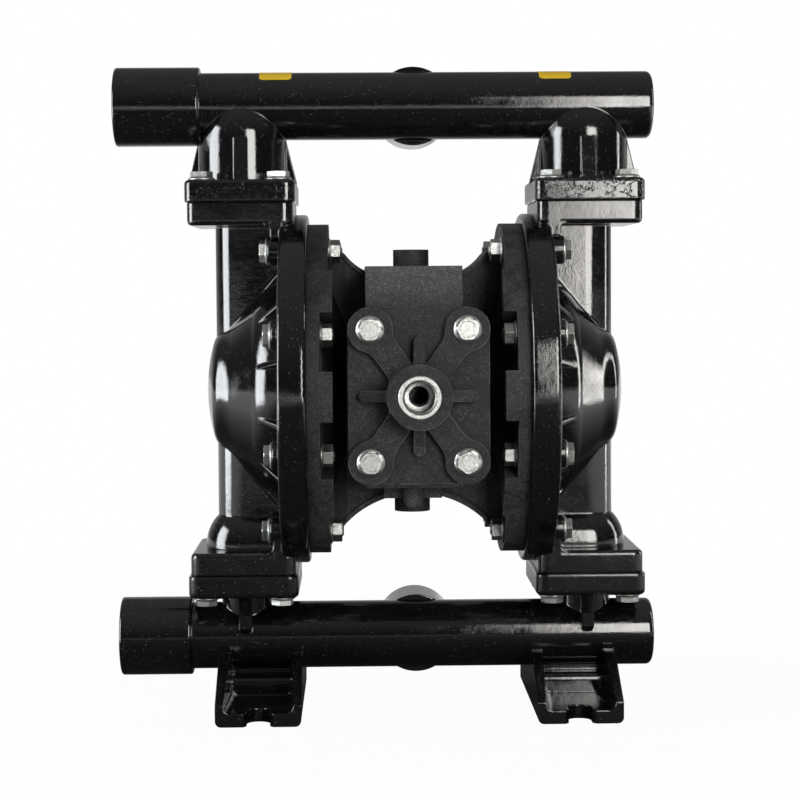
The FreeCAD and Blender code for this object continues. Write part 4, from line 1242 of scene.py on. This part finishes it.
WARM, COOL = (1.0, 0.98, 0.94), (0.94, 0.97, 1.0)
SOFT_BOXES = (
    SoftBox("soft_box_key", (0.60, -1.45, 0.61), (0.60, 0.0, 0.61), (0.70, 0.90), 8.8, WARM),
    SoftBox("soft_box_left", (-1.30, -0.28, 0.50), (0.0, -0.28, 0.50), (0.64, 1.0), 9.0, COOL),
    SoftBox("soft_box_right", (1.30, 0.22, 0.50), (0.0, 0.22, 0.50), (0.12, 1.0), 8.0, WARM),
    SoftBox("white_wall_back", (0.0, 1.6, 0.8), (0.0, 0.0, 0.4), (2.2, 1.4), 1.4, WHITE[:3], False),
)


@dataclass
class Studio:
    """Floor, lamps, surroundings and camera, in metres and degrees."""

    eye: tuple = (-0.0386, -1.4266, 0.2861)
    yaw: float = 1.15
    pitch: float = -3.14
    roll: float = 0.0068
    lens: float = 94.6
    sensor: float = 36.0
    clip: tuple = (0.05, 50.0)
    floor_size: float = 8.0
    floor_drop: float = 0.0002
    floor_colour: tuple = (0.9, 0.9, 0.9, 1.0)
    floor_in_gloss: tuple = (0.03, 0.03, 0.03, 1.0)
    floor_roughness: float = 0.9
    near_glow: float = 0.96
    near_reach: tuple = (0.25, 0.9)
    far_reach: tuple = (1.5, 3.5)
    beside_reach: tuple = (0.40, 1.1)
    beside_glow: float = 0.8
    behind_reach: tuple = (0.3, 1.3)
    behind_glow: float = 0.9
    room_glow: float = 0.035
    ceiling_glow: float = 0.20
    ceiling_rise: tuple = (0.15, 0.95)
    backdrop_glow: float = 0.45
    backdrop_turn: tuple = (0.30, 0.85)
    backdrop_top: tuple = (0.30, 0.75)
    ambient: float = 0.14

    def mirror_rays(self, g: Graph, path: Node) -> Socket:
        """1 for the rays of gloss and glass, 0 for all others."""
        rays = path.outputs
        return g.math("ADD", rays["Is Glossy Ray"], rays["Is Transmission Ray"], clamp=True)

    def floor(self) -> None:
        """Plain white floor that keeps the shadow near the object and fades into the backdrop."""
        mesh = bmesh.new()
        bmesh.ops.create_grid(mesh, x_segments=2, y_segments=2, size=self.floor_size)
        obj = finish_mesh("studio_floor", mesh)
        obj.location.z = -self.floor_drop
        g = MaterialGraph("pale_floor")
        g.shade("Roughness", self.floor_roughness)
        path = g.add("LightPath")
        mirrored = self.mirror_rays(g, path)
        g.shade("Base Color", g.blend(mirrored, self.floor_colour, self.floor_in_gloss))
        away = g.vector_math("LENGTH", g.at).outputs["Value"]
        place = g.add("SeparateXYZ", Vector=g.at)
        aside = g.math("ABSOLUTE", place.outputs[0])
        beside = g.span(aside, self.beside_reach, (0.0, self.beside_glow))
        behind = g.span(place.outputs[1], self.behind_reach, (0.0, self.behind_glow))
        around = g.math("MAXIMUM", beside, behind)
        far = g.math("MAXIMUM", g.span(away, self.far_reach, UNIT), around)
        near = g.span(away, self.near_reach, (self.near_glow, 1.0))
        direct = g.math("MULTIPLY", path.outputs["Is Camera Ray"], near)
        share = g.math("MAXIMUM", direct, g.math("MULTIPLY", mirrored, far))
        glow = g.add("Emission", Color=WHITE, Strength=1.0)
        mixed = g.feed(g.add("MixShader"), (share, g.shader.outputs[0], glow.outputs[0]))
        g.put(g.tree.nodes["Material Output"], "Surface", mixed.outputs[0])
        obj.data.materials.append(g.material)

    def surroundings(self) -> None:
        """White backdrop behind the object and a dark room elsewhere, as its gloss shows them."""
        world = bpy.data.worlds.new("studio_world")
        bpy.context.scene.world = world
        world.use_nodes = True
        g = Graph(world.node_tree)
        back = g.tree.nodes["Background"]
        path = g.add("LightPath")
        toward = g.add("SeparateXYZ", Vector=g.add("TexCoord").outputs["Generated"])
        behind = g.span(toward.outputs[1], self.backdrop_turn, (0.0, self.backdrop_glow))
        low = g.span(toward.outputs[2], self.backdrop_top, FALL)
        room = g.span(toward.outputs[2], self.ceiling_rise, (self.room_glow, self.ceiling_glow))
        backdrop = g.math("MAXIMUM", g.math("MULTIPLY", behind, low), room)
        rays = self.mirror_rays(g, path)
        ambient = g.math("MULTIPLY", g.math("SUBTRACT", 1.0, rays), self.ambient)
        soft = g.math("ADD", g.math("MULTIPLY", rays, backdrop), ambient)
        back.inputs["Color"].default_value = WHITE
        g.put(back, "Strength", g.math("MAXIMUM", path.outputs["Is Camera Ray"], soft))

    def camera(self) -> None:
        """Camera at the photograph's viewing angle."""
        data = bpy.data.cameras.new("view_camera")
        data.sensor_width = self.sensor
        data.lens = self.lens
        data.clip_start, data.clip_end = self.clip
        obj = bpy.data.objects.new("view_camera", data)
        yaw, pitch = math.radians(self.yaw), math.radians(self.pitch)
        ahead = Vector((math.sin(yaw) * math.cos(pitch), math.cos(yaw) * math.cos(pitch),
                        math.sin(pitch)))
        level = Vector((math.cos(yaw), -math.sin(yaw), 0.0))
        above = level.cross(ahead)
        right = (level - self.roll * above).normalized()
        up = (above + self.roll * level).normalized()
        turn = Matrix((right, up, -ahead)).transposed().to_4x4()
        obj.matrix_world = Matrix.Translation(self.eye) @ turn
        bpy.context.scene.collection.objects.link(obj)
        bpy.context.scene.camera = obj

    def build(self) -> None:
        """Builds the studio."""
        bpy.context.scene.view_settings.view_transform = "Standard"
        self.floor()
        for box in SOFT_BOXES:
            box.build()
        self.surroundings()
        self.camera()
        LOG.info("studio ready")


def main() -> None:
    """Builds the dressed pump and its studio."""
    logging.basicConfig(level=logging.INFO, format="%(name)s: %(message)s")
    palette = Palette()
    CarriedOver(frame["record"]).build(palette, frame["nodes"])
    Fastenings().build(palette)
    InletInsert().build(palette)
    BlankLabels().build(palette)
    for side in SIDES:
        RollingDiaphragm(side).build(palette)
    Studio().build()


if __name__ == "__main__":
    main()
